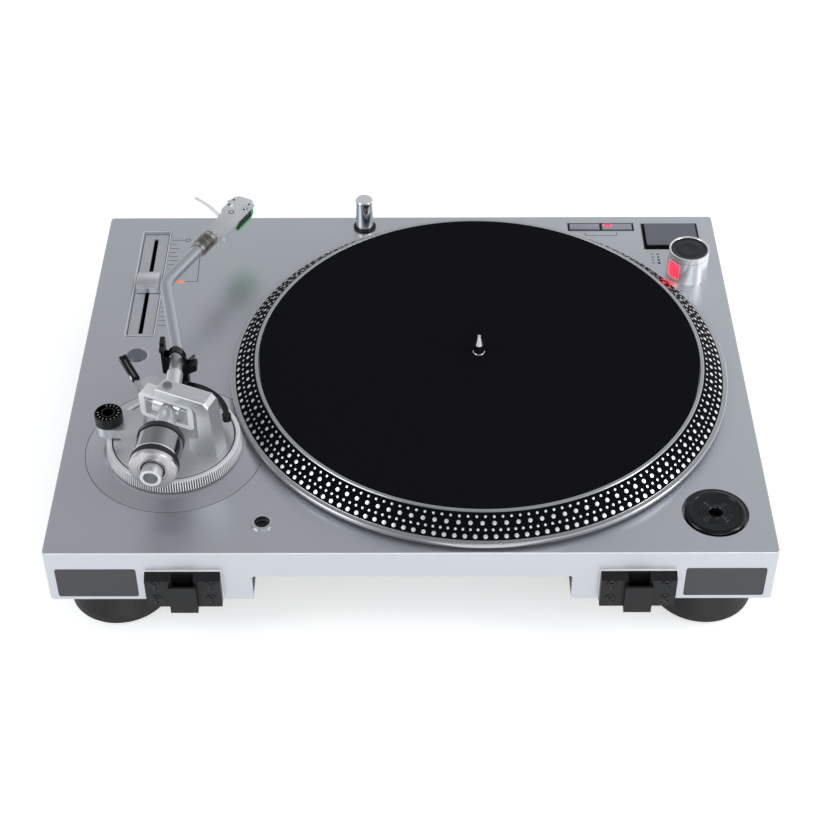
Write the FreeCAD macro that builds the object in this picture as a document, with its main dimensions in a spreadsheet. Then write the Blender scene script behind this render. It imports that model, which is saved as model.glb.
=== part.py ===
import FreeCAD, Part
import math
import os
import Sketcher
from FreeCAD import Placement, Rotation, Vector

# Direct-drive record turntable, in millimetres.
#
# Every place below is written in the deck's frame: x = 0 and y = 0 at the middle of the case,
# z = 0 on the deck's top face, +X to the tone arm's side and +Y to the back, where the hinges are.
# The finished model stands on z = 0, with its origin under the middle of its footprint, so each
# node's own Placement carries it up by the deck's height and forward by half the hinge's depth.

SIZES = {
    "Case": {
        "case_width": 448.0,
        "case_depth": 343.0,
        "case_height": 41.0,
        "deck_height": 72.0,
        "case_wall": 3.0,
        "case_corner": 2.6,
        "case_edge": 0.8,
        "tray_gap": 0.3,
        "tray_thickness": 2.5,
        "tray_inset": 28.0,
        "tray_drop": 9.0,
        "bay_middle": -0.9,
        "bay_width": 197.0,
        "bay_top": 20.7,
        "bay_depth": 27.0,
        "bay_corner": 2.0,
        "tray_front_x": 80.0,
        "tray_side_x": 212.0,
        "tray_side_y": 20.0,
        "pillar_radius": 3.2,
    },
    "Feet": {
        "foot_from_right": 37.2,
        "foot_from_back": 37.7,
        "foot_radius": 32.3,
        "foot_sole": 30.0,
        "foot_neck": 25.0,
        "foot_edge": 2.0,
        "stud_radius": 4.0,
        "stud_clearance": 0.08,
        "stud_length": 14.0,
        "foot_boss": 9.0,
        "foot_gap": 0.5,
    },
    "Rear": {
        "hinge_from_right": 84.25,
        "hinge_width": 46.5,
        "hinge_top": 15.3,
        "hinge_bottom": 42.0,
        "hinge_proud": 5.5,
        "hinge_bevel": 3.9,
        "socket_width": 17.0,
        "socket_proud": 9.0,
        "socket_top": 22.0,
        "socket_bottom": 44.0,
        "socket_mouth": 13.4,
        "socket_slot": 6.6,
        "socket_wall": 1.6,
        "screw_spread": 16.5,
        "screw_high": 22.0,
        "screw_low": 34.5,
        "screw_radius": 1.5,
        "screw_head": 2.9,
        "screw_length": 9.0,
        "screw_clearance": 0.1,
        "tray_screw_from_right": 74.0,
        "tray_screw_from_back": 15.0,
        "post_radius": 4.5,
        "jack_height": 34.0,
        "jack_pitch": 14.0,
        "jack_from_bay_right": 39.6,
        "jack_radius": 4.15,
        "jack_core": 1.6,
        "jack_reach": 9.5,
        "jack_flange": 5.6,
        "earth_from_bay_right": 11.6,
        "earth_radius": 4.0,
        "usb_from_bay_right": 93.6,
        "usb_width": 12.0,
        "usb_height": 10.9,
        "inlet_from_bay_left": 37.4,
        "inlet_radius": 4.6,
        "inlet_pin": 1.05,
        "switch_from_bay_right": 65.6,
        "switch_width": 12.0,
        "switch_height": 5.0,
        "switch_travel": 2.0,
        "spigot_radius": 2.8,
        "screw_head_height": 1.4,
        "screw_slot": 0.7,
        "jack_plate": 1.5,
        "switch_stem": 3.0,
    },
    "Drive": {
        "platter_from_left": 178.5,
        "platter_from_back": 166.6,
        "platter_radius": 166.0,
        "platter_bottom": 4.3,
        "rim_low": 7.0,
        "rim_high": 8.3,
        "skirt_radius": 163.0,
        "skirt_wall": 6.0,
        "band_top_radius": 149.2,
        "lip_radius": 146.6,
        "lip_height": 17.0,
        "seat_height": 16.0,
        "platter_plate": 4.0,
        "hub_radius": 20.0,
        "mat_thickness": 2.2,
        "mat_gap": 0.3,
        "spindle_radius": 3.6,
        "spindle_straight": 7.0,
        "spindle_tip": 13.5,
        "shaft_radius": 4.0,
        "shaft_depth": 26.5,
        "bearing_clearance": 0.04,
        "bearing_wall": 4.0,
        "bearing_bottom": 28.5,
        "bearing_top": 2.0,
        "well_radius": 60.0,
        "frame_radius": 66.0,
        "frame_plate": 3.0,
        "stator_radius": 38.0,
        "stator_core": 20.0,
        "stator_bottom": 22.0,
        "stator_top": 8.0,
        "stator_poles": 12,
        "pole_width": 6.0,
        "magnet_radius": 48.0,
        "magnet_wall": 6.0,
        "magnet_drop": 20.0,
        "board_from_right": 154.0,
        "board_from_front": 109.5,
        "board_width": 110.0,
        "board_depth": 84.0,
        "board_lift": 8.0,
        "hub_bottom": 3.0,
        "flange_thickness": 1.5,
        "spindle_end": 1.2,
        "platter_edge": 0.7,
        "board_plate": 1.6,
    },
    "Controls": {
        "start_from_left": 32.8,
        "start_from_front": 24.8,
        "start_width": 38.4,
        "start_depth": 28.6,
        "start_proud": 2.0,
        "speed_from_left": 83.4,
        "speed_from_front": 13.1,
        "speed_width": 22.0,
        "speed_depth": 6.8,
        "speed_proud": 1.0,
        "speed_middle": 1.0,
        "key_gap": 0.4,
        "bezel_border": 1.2,
        "bezel_drop": 0.5,
        "key_depth": 7.0,
        "tempo_from_right": 36.4,
        "tempo_from_front": 79.2,
        "recess_width": 20.5,
        "recess_length": 120.0,
        "recess_depth": 1.5,
        "slot_width": 3.0,
        "slot_length": 108.5,
        "fader_width": 15.8,
        "fader_length": 17.0,
        "fader_height": 5.4,
        "fader_gap": 0.4,
        "fader_stem": 12.0,
        "pot_width": 12.0,
        "pot_height": 9.0,
        "range_from_right": 36.9,
        "range_from_front": 158.1,
        "range_radius": 6.5,
        "quartz_from_right": 71.2,
        "quartz_from_front": 36.5,
        "quartz_radius": 5.0,
        "button_gap": 0.6,
        "button_proud": 0.8,
        "lamp_from_right": 58.5,
        "lamp_from_front": 77.2,
        "lamp_width": 6.2,
        "lamp_depth": 2.2,
        "tower_from_left": 26.0,
        "tower_from_front": 68.5,
        "tower_radius": 14.7,
        "tower_top_radius": 14.2,
        "tower_height": 17.6,
        "tower_wall": 2.0,
        "window_angle": 44.0,
        "window_low": 3.0,
        "window_high": 15.6,
        "dial_height": 22.0,
        "dial_gap": 0.3,
        "dial_dish": 0.7,
        "dial_rim": 0.9,
        "dial_shaft": 3.0,
        "light_from_left": 258.3,
        "light_from_front": 12.2,
        "light_radius": 6.4,
        "light_height": 25.0,
        "light_travel": 22.0,
        "collar_radius": 8.2,
        "collar_proud": 1.2,
        "light_clearance": 0.08,
        "adapter_from_left": 35.2,
        "adapter_from_back": 33.8,
        "adapter_radius": 19.0,
        "adapter_proud": 1.3,
        "adapter_bore": 3.7,
        "adapter_gap": 1.8,
        "storage_from_right": 132.5,
        "storage_from_back": 25.5,
        "storage_radius": 6.7,
        "storage_bore": 4.8,
        "storage_depth": 14.0,
        "adapter_depth": 7.0,
        "cup_wall": 2.2,
        "recess_slope": 0.9,
        "bezel_plate": 1.5,
        "bezel_fit": 0.1,
        "key_edge": 0.6,
        "pot_top": 8.0,
        "pot_grip": 4.0,
        "pot_end": 12.0,
        "tower_spigot": 6.0,
        "tower_floor": 1.5,
        "dial_fit": 0.06,
        "lens_drop": 0.3,
        "lens_wall": 1.4,
        "collar_lip": 0.8,
        "light_depth": 12.0,
        "adapter_step": 2.0,
    },
    "Arm base": {
        "pivot_from_right": 72.5,
        "pivot_from_back": 92.2,
        "base_radius": 57.4,
        "base_joint": 0.4,
        "base_rise": 2.2,
        "base_step": 45.5,
        "base_bore": 27.0,
        "base_tube": 30.0,
        "base_depth": 18.0,
        "stem_clearance": 0.05,
        "stem_wall": 3.5,
        "height_ring_bottom": 3.0,
        "height_ring_top": 11.0,
        "height_ring_foot": 43.5,
        "height_ring_head": 41.5,
        "height_ring_inner": 39.2,
        "height_travel": 6.0,
        "platform_radius": 38.5,
        "platform_top": 10.5,
        "platform_plate": 3.5,
        "lug_from_right": 31.2,
        "lug_from_back": 99.3,
        "lug_radius": 9.6,
        "lug_top": 18.5,
        "lug_gap": 0.5,
        "skate_radius": 9.0,
        "skate_height": 6.6,
        "skate_gap": 0.3,
        "cue_from_right": 57.0,
        "cue_from_back": 122.0,
        "cue_radius": 6.5,
        "cue_top": 31.0,
        "cue_axis": 27.0,
        "cue_reach": 27.0,
        "cue_bearing": 304.4,
        "cue_width": 5.0,
        "cue_thickness": 3.6,
        "cue_tilt": 20.0,
        "lifter_radius": 34.7,
        "lifter_width": 3.6,
        "lifter_top": 26.0,
        "lifter_thickness": 3.0,
        "lifter_sweep": 98.0,
        "rest_from_back": 141.5,
        "rest_length": 7.0,
        "rest_cradle": 31.0,
        "rest_inner": 12.0,
        "rest_outer": 7.4,
        "rest_wall": 3.0,
        "rest_top": 50.0,
        "clip_height": 46.6,
        "clip_thickness": 2.0,
        "clip_width": 5.0,
        "clip_reach": 6.6,
        "base_lip": 4.0,
        "base_flange": 2.0,
        "ring_gap": 1.0,
        "knob_shaft": 2.5,
        "knob_fit": 0.06,
        "knob_shaft_depth": 5.5,
        "cue_neck": 1.6,
        "cue_pin": 1.5,
        "cue_hub": 3.4,
        "cue_hub_width": 2.4,
        "cue_handle": 8.0,
        "cue_stem": 2.0,
        "lifter_rod": 1.8,
        "lifter_rod_bearing": 248.0,
        "lifter_guide": 1.8,
        "lifter_guide_height": 9.0,
        "lifter_middle": 236.0,
        "rest_half": 6.0,
        "rest_foot": 7.0,
        "clip_pin": 0.8,
        "clip_wing": 3.0,
    },
    "Arm": {
        "arm_height": 36.8,
        "gimbal_angle": 23.8,
        "gimbal_half_width": 19.3,
        "gimbal_half_height": 10.0,
        "gimbal_side": 4.0,
        "gimbal_bar": 3.0,
        "gimbal_half_depth": 4.8,
        "gimbal_corner": 3.5,
        "yoke_half_depth": 6.2,
        "yoke_inner": 22.5,
        "yoke_outer": 35.0,
        "yoke_shoulder": 31.5,
        "yoke_foot": 15.0,
        "yoke_foot_height": 9.5,
        "yoke_top": 54.0,
        "yoke_arm": 6.4,
        "yoke_tip": 6.0,
        "yoke_round": 3.0,
        "pivot_screw": 2.9,
        "pivot_shank": 1.9,
        "pivot_gap": 0.3,
        "barrel_radius": 6.2,
        "barrel_half": 9.5,
        "trunnion_radius": 1.5,
        "trunnion_clearance": 0.05,
        "tube_radius": 4.2,
        "tube_wall": 0.8,
        "tube_first": 50.3,
        "tube_second": 76.5,
        "tube_third": 41.6,
        "first_bend": 12.0,
        "offset_angle": 27.0,
        "first_round": 40.0,
        "second_round": 22.0,
        "sleeve_radius": 5.2,
        "sleeve_end": 31.0,
        "tail_angle": 4.7,
        "tail_radius": 6.5,
        "tail_bore": 4.6,
        "tail_end": 65.0,
        "bush_clearance": 0.05,
        "bush_wall": 1.1,
        "weight_clearance": 0.05,
        "weight_radius": 14.4,
        "weight_front": 33.0,
        "weight_back": 57.7,
        "grip_radius": 15.3,
        "grip_length": 8.0,
        "force_dial_radius": 14.8,
        "force_dial_length": 4.0,
        "collar_nut_radius": 6.0,
        "collar_nut_length": 17.0,
        "collar_nut_step": 3.0,
        "shell_length": 48.6,
        "shell_half_width": 9.2,
        "shell_waist": 5.6,
        "shell_thickness": 2.4,
        "shell_wall": 1.6,
        "shell_skirt": 5.0,
        "lift_at": 19.5,
        "lift_reach": 17.0,
        "lift_rise": 9.0,
        "lift_width": 3.0,
        "lift_thickness": 1.0,
        "cartridge_back": 22.0,
        "cartridge_front": 42.0,
        "cartridge_half": 7.6,
        "cartridge_height": 7.7,
        "stylus_depth": 5.4,
        "shell_screw_at": 37.5,
        "shell_screw_spread": 12.7,
        "yoke_edge": 1.4,
        "pivot_head": 1.2,
        "pivot_post": 3.8,
        "pivot_fit": 0.05,
        "tail_bore_depth": 12.0,
        "tail_neck": 8.0,
        "tail_neck_radius": 5.8,
        "tube_fit": 0.05,
        "tube_seat": 12.0,
        "tube_grip": 9.0,
        "nut_clearance": 0.08,
        "shell_gap": 0.4,
        "shell_low": 0.7,
        "shell_shoulder": 24.0,
        "shell_corner": 4.0,
        "shell_flare": 0.8,
        "shell_root": 5.0,
        "shell_screw": 1.25,
        "shell_screw_head": 2.2,
        "shell_screw_top": 1.3,
        "shell_screw_grip": 3.5,
        "stylus_nose": 4.0,
        "stylus_lever": 1.2,
    },
}

DOC = FreeCAD.newDocument("turntable")


class Size:
    """A number that also carries its formula in the sheet, so that whatever it sets stays bound."""

    def __init__(self, value, formula):
        self.value = value
        self.formula = formula

    def __add__(self, other):
        return Size(self.value + value_of(other), f"({self.formula} + {formula_of(other)})")

    def __radd__(self, other):
        return self + other

    def __sub__(self, other):
        return Size(self.value - value_of(other), f"({self.formula} - {formula_of(other)})")

    def __rsub__(self, other):
        return Size(value_of(other) - self.value, f"({formula_of(other)} - {self.formula})")

    def __mul__(self, other):
        return Size(self.value * value_of(other), f"({self.formula} * {formula_of(other)})")

    def __rmul__(self, other):
        return self * other

    def __truediv__(self, other):
        return Size(self.value / value_of(other), f"({self.formula} / {formula_of(other)})")

    def __neg__(self):
        return Size(-self.value, f"(-{self.formula})")


def value_of(item):
    return item.value if isinstance(item, Size) else float(item)


def formula_of(item):
    return item.formula if isinstance(item, Size) else f"({float(item)})"


def sine(angle):
    return Size(math.sin(math.radians(value_of(angle))), f"sin({formula_of(angle)})")


def cosine(angle):
    return Size(math.cos(math.radians(value_of(angle))), f"cos({formula_of(angle)})")


def tangent(angle):
    return Size(math.tan(math.radians(value_of(angle))), f"tan({formula_of(angle)})")


class Dimensions:
    """The sheet of driving dimensions, read by name."""

    def __init__(self, groups):
        self.sheet = DOC.addObject("Spreadsheet::Sheet", "Sizes")
        row = 1
        for group, sizes in groups.items():
            self.sheet.set(f"A{row}", group)
            row += 1
            for name, value in sizes.items():
                self.sheet.set(f"A{row}", name)
                self.sheet.set(f"B{row}", str(value))
                self.sheet.setAlias(f"B{row}", name)
                row += 1
        DOC.recompute()

    def __getattr__(self, name):
        return Size(float(self.sheet.get(name)), f"Sizes.{name}")


d = Dimensions(SIZES)


def measure_places():
    """Work out each x and y that the sizes give as a distance from a side of the case or its bay."""
    bay_left, bay_right = d.bay_middle - d.bay_width / 2, d.bay_middle + d.bay_width / 2
    edges = {
        "_from_left": ("_x", -d.case_width / 2, 1),
        "_from_right": ("_x", d.case_width / 2, -1),
        "_from_front": ("_y", -d.case_depth / 2, 1),
        "_from_back": ("_y", d.case_depth / 2, -1),
        "_from_bay_left": ("_x", bay_left, 1),
        "_from_bay_right": ("_x", bay_right, -1),
    }
    for name in [name for group in SIZES.values() for name in group]:
        for ending, (axis, edge, way) in edges.items():
            if name.endswith(ending):
                setattr(d, name.removesuffix(ending) + axis, edge + way * getattr(d, name))


measure_places()

# Working with bodies and sketches


def bind(thing, path, size):
    """Tie a property to its formula."""
    if isinstance(size, Size):
        thing.setExpression(path, size.formula)


def new_body(name):
    return DOC.addObject("PartDesign::Body", name)


def sketch_on(body, plane="XY_Plane", offset=0, turn=0):
    """Start a sketch on one of the body's own planes, moved along its normal and turned in it."""
    sketch = body.newObject("Sketcher::SketchObject", f"{body.Name}_sketch")
    support = next(item for item in body.Origin.OriginFeatures if item.Role == plane)
    sketch.AttachmentSupport = [(support, "")]
    sketch.MapMode = "FlatFace"
    turned_by = Rotation(Vector(0, 0, 1), value_of(turn))
    sketch.AttachmentOffset = Placement(Vector(0, 0, value_of(offset)), turned_by)
    bind(sketch, "AttachmentOffset.Base.z", offset)
    bind(sketch, "AttachmentOffset.Rotation.Angle", turn)
    return sketch


def hold(sketch, edge, end, x, y):
    """Fix one point of an edge at a place measured from the sketch's origin."""
    for direction, size in (("DistanceX", x), ("DistanceY", y)):
        number = sketch.addConstraint(Sketcher.Constraint(direction, -1, 1, edge, end, value_of(size)))
        bind(sketch, f"Constraints[{number}]", size)


def outline(sketch, points):
    """Draw a closed outline of straight edges."""
    spots = [Vector(value_of(x), value_of(y), 0) for x, y in points]
    ends = spots[1:] + spots[:1]
    edges = [sketch.addGeometry(Part.LineSegment(a, b)) for a, b in zip(spots, ends)]
    for index, (x, y) in enumerate(points):
        sketch.addConstraint(Sketcher.Constraint("Coincident", edges[index - 1], 2, edges[index], 1))
        hold(sketch, edges[index], 1, x, y)


def rectangle(sketch, x0, y0, x1, y1):
    outline(sketch, [(x0, y0), (x1, y0), (x1, y1), (x0, y1)])


def centred(sketch, x, y, width, depth):
    rectangle(sketch, x - width / 2, y - depth / 2, x + width / 2, y + depth / 2)


def circle(sketch, x, y, radius):
    edge = sketch.addGeometry(Part.Circle(Vector(value_of(x), value_of(y), 0), Vector(0, 0, 1), value_of(radius)))
    hold(sketch, edge, 3, x, y)
    number = sketch.addConstraint(Sketcher.Constraint("Radius", edge, value_of(radius)))
    bind(sketch, f"Constraints[{number}]", radius)


def extruded(body, kind, sketch, length, backwards=False, middle=False):
    feature = body.newObject(kind, f"{body.Name}_{kind.split('::')[1].lower()}")
    feature.Profile = sketch
    feature.Length = value_of(length)
    bind(feature, "Length", length)
    feature.Reversed = backwards
    feature.Midplane = middle
    DOC.recompute()
    return feature


def pad(body, sketch, length, backwards=False, middle=False):
    return extruded(body, "PartDesign::Pad", sketch, length, backwards, middle)


def pocket(body, sketch, length, backwards=False, middle=False):
    """Cut along a sketch, against its normal unless backwards, and make sure that it did cut."""
    before = body.Shape.Volume
    feature = extruded(body, "PartDesign::Pocket", sketch, length, backwards, middle)
    check_cut(feature, before, body)
    return feature


def check_cut(feature, before, body):
    if body.Shape.Volume > before - 0.001:
        raise RuntimeError(f"{feature.Name} in {body.Name} cuts nothing")


def turned(body, points, plane="XZ_Plane", axis="V_Axis", offset=0, turn=0, angle=360, groove=False):
    """Revolve an outline of (radius, height) or (along, radius) points about a sketch axis."""
    sketch = sketch_on(body, plane, offset, turn)
    outline(sketch, points)
    before = body.Shape.Volume if groove else 0
    kind = "PartDesign::Groove" if groove else "PartDesign::Revolution"
    feature = body.newObject(kind, f"{body.Name}_turned")
    feature.Profile = sketch
    feature.ReferenceAxis = (sketch, [axis])
    feature.Angle = value_of(angle)
    bind(feature, "Angle", angle)
    feature.Midplane = value_of(angle) < 360
    DOC.recompute()
    if groove:
        check_cut(feature, before, body)
    return feature


def eased(body, kind, size, chosen):
    """Fillet or chamfer the edges that a test picks."""
    base = body.Tip
    names = [f"Edge{number}" for number, edge in enumerate(base.Shape.Edges, 1) if chosen(edge)]
    if not names:
        raise RuntimeError(f"no edge to ease on {body.Name}")
    feature = body.newObject(f"PartDesign::{kind}", f"{body.Name}_{kind.lower()}")
    feature.Base = (base, names)
    name = "Radius" if kind == "Fillet" else "Size"
    setattr(feature, name, value_of(size))
    bind(feature, name, size)
    DOC.recompute()
    return feature


def along(edge, axis):
    """Whether an edge is straight and lies along X, Y or Z."""
    if not isinstance(edge.Curve, Part.Line):
        return False
    span = edge.Vertexes[1].Point - edge.Vertexes[0].Point
    return abs(abs(getattr(span, axis)) - span.Length) < 1e-6


def level(edge, axis, place):
    """Whether every end of an edge is at one place along an axis."""
    return all(abs(getattr(vertex.Point, axis) - value_of(place)) < 1e-5 for vertex in edge.Vertexes)


def drilled(body, sketch, diameter, head):
    """Countersunk holes at a sketch's circles."""
    before = body.Shape.Volume
    hole = body.newObject("PartDesign::Hole", f"{body.Name}_hole")
    hole.Profile = sketch
    hole.DepthType = "ThroughAll"
    hole.Diameter = value_of(diameter)
    bind(hole, "Diameter", diameter)
    hole.HoleCutType = "Countersink"
    hole.HoleCutDiameter = value_of(head)
    bind(hole, "HoleCutDiameter", head)
    hole.HoleCutCountersinkAngle = 90
    DOC.recompute()
    check_cut(hole, before, body)


def place(thing, x=0, y=0, z=0, turn=0):
    """Set a piece at a place in the deck's frame, turned about the upright axis."""
    base = (x, y - d.socket_proud / 2, z + d.deck_height)
    turned_by = Rotation(Vector(0, 0, 1), value_of(turn))
    thing.Placement = Placement(Vector(*[value_of(size) for size in base]), turned_by)
    for axis, size in zip("xyz", base):
        bind(thing, f"Placement.Base.{axis}", size)
    bind(thing, "Placement.Rotation.Angle", turn)
    return thing


def grouped(name, solids):
    """Identical small pieces, kept together as separate solids."""
    group = DOC.addObject("Part::Feature", name)
    group.Shape = Part.makeCompound(solids)
    return place(group)


# The case


def screw_places():
    """Where the case's screws are: eight up through the tray and eight into the back."""
    tray = [(side * d.tray_screw_x, d.tray_screw_y) for side in (-1, 1)]
    tray += [(side * d.tray_front_x, -d.tray_screw_y) for side in (-1, 1)]
    tray += [(side * d.tray_side_x, end * d.tray_side_y) for side in (-1, 1) for end in (-1, 1)]
    across = [side * d.hinge_x + end * d.screw_spread for side in (-1, 1) for end in (-1, 1)]
    back = [(x, -low) for x in across for low in (d.screw_high, d.screw_low)]
    return tray, back


def bay_sides():
    return d.bay_middle - d.bay_width / 2, d.bay_middle + d.bay_width / 2


def make_top_cover():
    body = new_body("top_cover")
    plan = sketch_on(body)
    centred(plan, 0 * d.case_width, 0 * d.case_depth, d.case_width, d.case_depth)
    pad(body, plan, d.case_height, backwards=True)
    eased(body, "Fillet", d.case_corner, lambda edge: along(edge, "z"))
    eased(body, "Fillet", d.case_edge, lambda edge: level(edge, "z", 0))

    room = sketch_on(body, offset=-d.case_height)
    inner_width = d.case_width - 2 * d.case_wall
    inner_depth = d.case_depth - 2 * d.case_wall
    centred(room, 0 * d.case_width, 0 * d.case_depth, inner_width, inner_depth)
    pocket(body, room, d.case_height - d.case_wall, backwards=True)

    tray_screws, back_screws = screw_places()
    posts = sketch_on(body, offset=-d.case_wall)
    for x, y in tray_screws:
        circle(posts, x, y, d.post_radius)
    circle(posts, d.adapter_x, d.adapter_y, d.adapter_radius + d.adapter_gap + d.cup_wall)
    pad(body, posts, d.adapter_depth, backwards=True)
    long_posts = sketch_on(body, offset=-d.case_wall)
    for x, y in tray_screws:
        circle(long_posts, x, y, d.post_radius)
    pad(body, long_posts, d.case_height - d.case_wall - d.tray_thickness, backwards=True)
    pilots = sketch_on(body, offset=-d.case_height)
    for x, y in tray_screws:
        circle(pilots, x, y, d.screw_radius + d.screw_clearance)
    pocket(body, pilots, d.screw_length + 2 * d.tray_thickness, backwards=True)

    recesses = sketch_on(body)
    circle(recesses, d.adapter_x, d.adapter_y, d.adapter_radius + d.adapter_gap)
    pocket(body, recesses, d.adapter_depth)
    groove = sketch_on(body)
    centred(groove, d.tempo_x, d.lamp_y, d.recess_width, d.recess_length)
    pocket(body, groove, d.recess_depth)
    eased(body, "Chamfer", d.recess_slope, lambda edge: is_recess_rim(edge))

    openings = sketch_on(body)
    circle(openings, d.platter_x, d.platter_y, d.well_radius)
    circle(openings, d.pivot_x, d.pivot_y, d.base_radius + d.base_joint)
    centred(openings, d.tempo_x, d.tempo_y, d.slot_width, d.slot_length)
    for x, y, width, depth in bezel_outlines():
        centred(openings, x, y, width, depth)
    circle(openings, d.range_x, d.range_y, d.range_radius + d.button_gap)
    circle(openings, d.quartz_x, d.quartz_y, d.quartz_radius + d.button_gap)
    centred(openings, d.lamp_x, d.lamp_y, d.lamp_width, d.lamp_depth)
    circle(openings, d.tower_x, d.tower_y, d.tower_radius - d.tower_wall)
    circle(openings, d.light_x, d.light_y, d.collar_radius - d.collar_lip)
    circle(openings, d.storage_x, d.storage_y, d.storage_radius - d.collar_lip)
    pocket(body, openings, d.case_wall + d.screw_clearance)

    bay = sketch_on(body, "XZ_Plane", offset=-d.case_depth / 2)
    left, right = bay_sides()
    rectangle(bay, left, -d.case_height - d.case_wall, right, -d.bay_top)
    pocket(body, bay, d.case_wall + d.screw_clearance, backwards=True)
    eased(body, "Fillet", d.bay_corner, lambda edge: along(edge, "y") and level(edge, "z", -d.bay_top))
    back = sketch_on(body, "XZ_Plane", offset=-d.case_depth / 2)
    for x, z in back_screws:
        circle(back, x, z, d.screw_radius + d.screw_clearance)
    pocket(body, back, d.case_wall + d.screw_clearance, backwards=True)
    return place(body)


def is_recess_rim(edge):
    """The upper rim of the tempo control's recess."""
    reach = value_of(d.recess_width) / 2
    beside = all(abs(abs(vertex.X - value_of(d.tempo_x)) - reach) < 1e-5 for vertex in edge.Vertexes)
    return level(edge, "z", 0) and beside


def make_base_tray():
    body = new_body("base_tray")
    left, right = bay_sides()
    gap = d.tray_gap
    width = d.case_width / 2 - d.case_wall - gap
    depth = d.case_depth / 2 - d.case_wall - gap
    floor = sketch_on(body, offset=-d.case_height)
    rectangle(floor, -width, -depth, width, depth)
    pad(body, floor, d.tray_thickness)
    low = sketch_on(body, offset=-d.case_height)
    rectangle(low, d.tray_inset - width, d.tray_inset - depth, width - d.tray_inset, depth - d.tray_inset)
    pad(body, low, d.tray_drop, backwards=True)
    hollow = sketch_on(body, offset=d.tray_thickness - d.case_height)
    inset = d.tray_inset + d.tray_thickness
    rectangle(hollow, inset - width, inset - depth, width - inset, depth - inset)
    pocket(body, hollow, d.tray_drop)

    wall = d.tray_thickness
    box = sketch_on(body, offset=-d.case_height)
    front = d.case_depth / 2 - d.bay_depth
    rectangle(box, left - wall, front - wall, right + wall, depth)
    pad(body, box, d.case_height - d.bay_top + wall)
    niche = sketch_on(body, offset=-d.case_height)
    rectangle(niche, left, front, right, depth + wall)
    pocket(body, niche, d.case_height - d.bay_top, backwards=True)
    socket_holes = sketch_on(body, "XZ_Plane", offset=-front)
    for x in rear_holes():
        circle(socket_holes, x, -d.jack_height, d.spigot_radius + gap)
    travel = 2 * d.switch_travel + d.switch_stem + gap
    centred(socket_holes, d.switch_x, -d.jack_height, travel, d.switch_stem + gap)
    pocket(body, socket_holes, 2 * wall, middle=True)

    bosses = sketch_on(body, offset=-d.case_height - d.tray_drop)
    for x, y in foot_places():
        circle(bosses, x, y, d.foot_boss)
    pad(body, bosses, d.stud_length)
    stud_holes = sketch_on(body, offset=-d.case_height - d.tray_drop)
    for x, y in foot_places():
        circle(stud_holes, x, y, d.stud_radius + d.stud_clearance)
    pocket(body, stud_holes, d.stud_length + d.tray_thickness, backwards=True)

    pillars = sketch_on(body, offset=-d.case_height)
    for x, y in board_corners(d.pillar_radius + d.tray_gap):
        circle(pillars, x, y, d.pillar_radius)
    pad(body, pillars, d.board_lift)
    deep_pillars = sketch_on(body, offset=-d.case_height - d.tray_drop + d.tray_thickness / 2)
    for x, y in board_corners(d.pillar_radius + d.tray_gap):
        circle(deep_pillars, x, y, d.pillar_radius)
    pad(body, deep_pillars, d.tray_drop)

    tray_screws, _ = screw_places()
    holes = sketch_on(body, offset=-d.case_height)
    for x, y in tray_screws:
        circle(holes, x, y, d.screw_radius + d.screw_clearance)
    pocket(body, holes, d.tray_thickness, backwards=True)
    heads = sketch_on(body, offset=-d.case_height)
    for x, y in tray_screws:
        circle(heads, x, y, d.screw_head + d.screw_clearance)
    pocket(body, heads, d.screw_head_height + d.screw_clearance, backwards=True)
    return place(body)


def foot_places():
    return [(side * d.foot_x, end * d.foot_y) for side in (-1, 1) for end in (-1, 1)]


def board_corners(margin):
    reach_x = d.board_width / 2 - margin
    reach_y = d.board_depth / 2 - margin
    return [(d.board_x + side * reach_x, d.board_y + end * reach_y) for side in (-1, 1) for end in (-1, 1)]


def make_case_screws():
    """Sixteen alike screws: a countersunk head with a crossed slot on a plain shank."""
    radius = value_of(d.screw_head)
    shank = value_of(d.screw_radius)
    head = value_of(d.screw_head_height)
    length = value_of(d.screw_length)
    slot = value_of(d.screw_slot)
    cone = Part.makeCone(radius, shank, head, Vector(0, 0, 0), Vector(0, 0, 1))
    screw = cone.fuse(Part.makeCylinder(shank, length))
    for turn in (0, 90):
        bar = Part.makeBox(1.4 * radius, slot, slot, Vector(-0.7 * radius, -slot / 2, 0))
        bar.rotate(Vector(0, 0, 0), Vector(0, 0, 1), turn)
        screw = screw.cut(bar)
    tray_screws, back_screws = screw_places()
    floor = -value_of(d.case_height)
    face = value_of(d.case_depth) / 2 + value_of(d.hinge_proud)
    solids = []
    for x, y in tray_screws:
        solids.append(moved(screw, Vector(value_of(x), value_of(y), floor), Rotation()))
    inward = Rotation(Vector(1, 0, 0), 90)
    for x, z in back_screws:
        solids.append(moved(screw, Vector(value_of(x), face, value_of(z)), inward))
    return grouped("case_screws", solids)


def moved(shape, base, rotation):
    copy = shape.copy()
    copy.Placement = Placement(base, rotation)
    return copy


def make_foot(name, x, y):
    body = new_body(name)
    sole = d.case_height - d.deck_height
    top = -d.case_height - d.tray_drop - d.foot_gap
    bottom = -d.deck_height
    points = [
        (0, bottom),
        (d.foot_sole, bottom),
        (d.foot_radius, bottom + d.foot_edge),
        (d.foot_radius - d.foot_edge / 2, bottom + 3 * d.foot_edge),
        (d.foot_neck, top - d.foot_edge),
        (d.foot_neck - d.foot_edge, top),
        (d.stud_radius, top),
        (d.stud_radius, top + d.stud_length),
        (0, top + d.stud_length),
    ]
    turned(body, points)
    return place(body, x, y)


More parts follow.
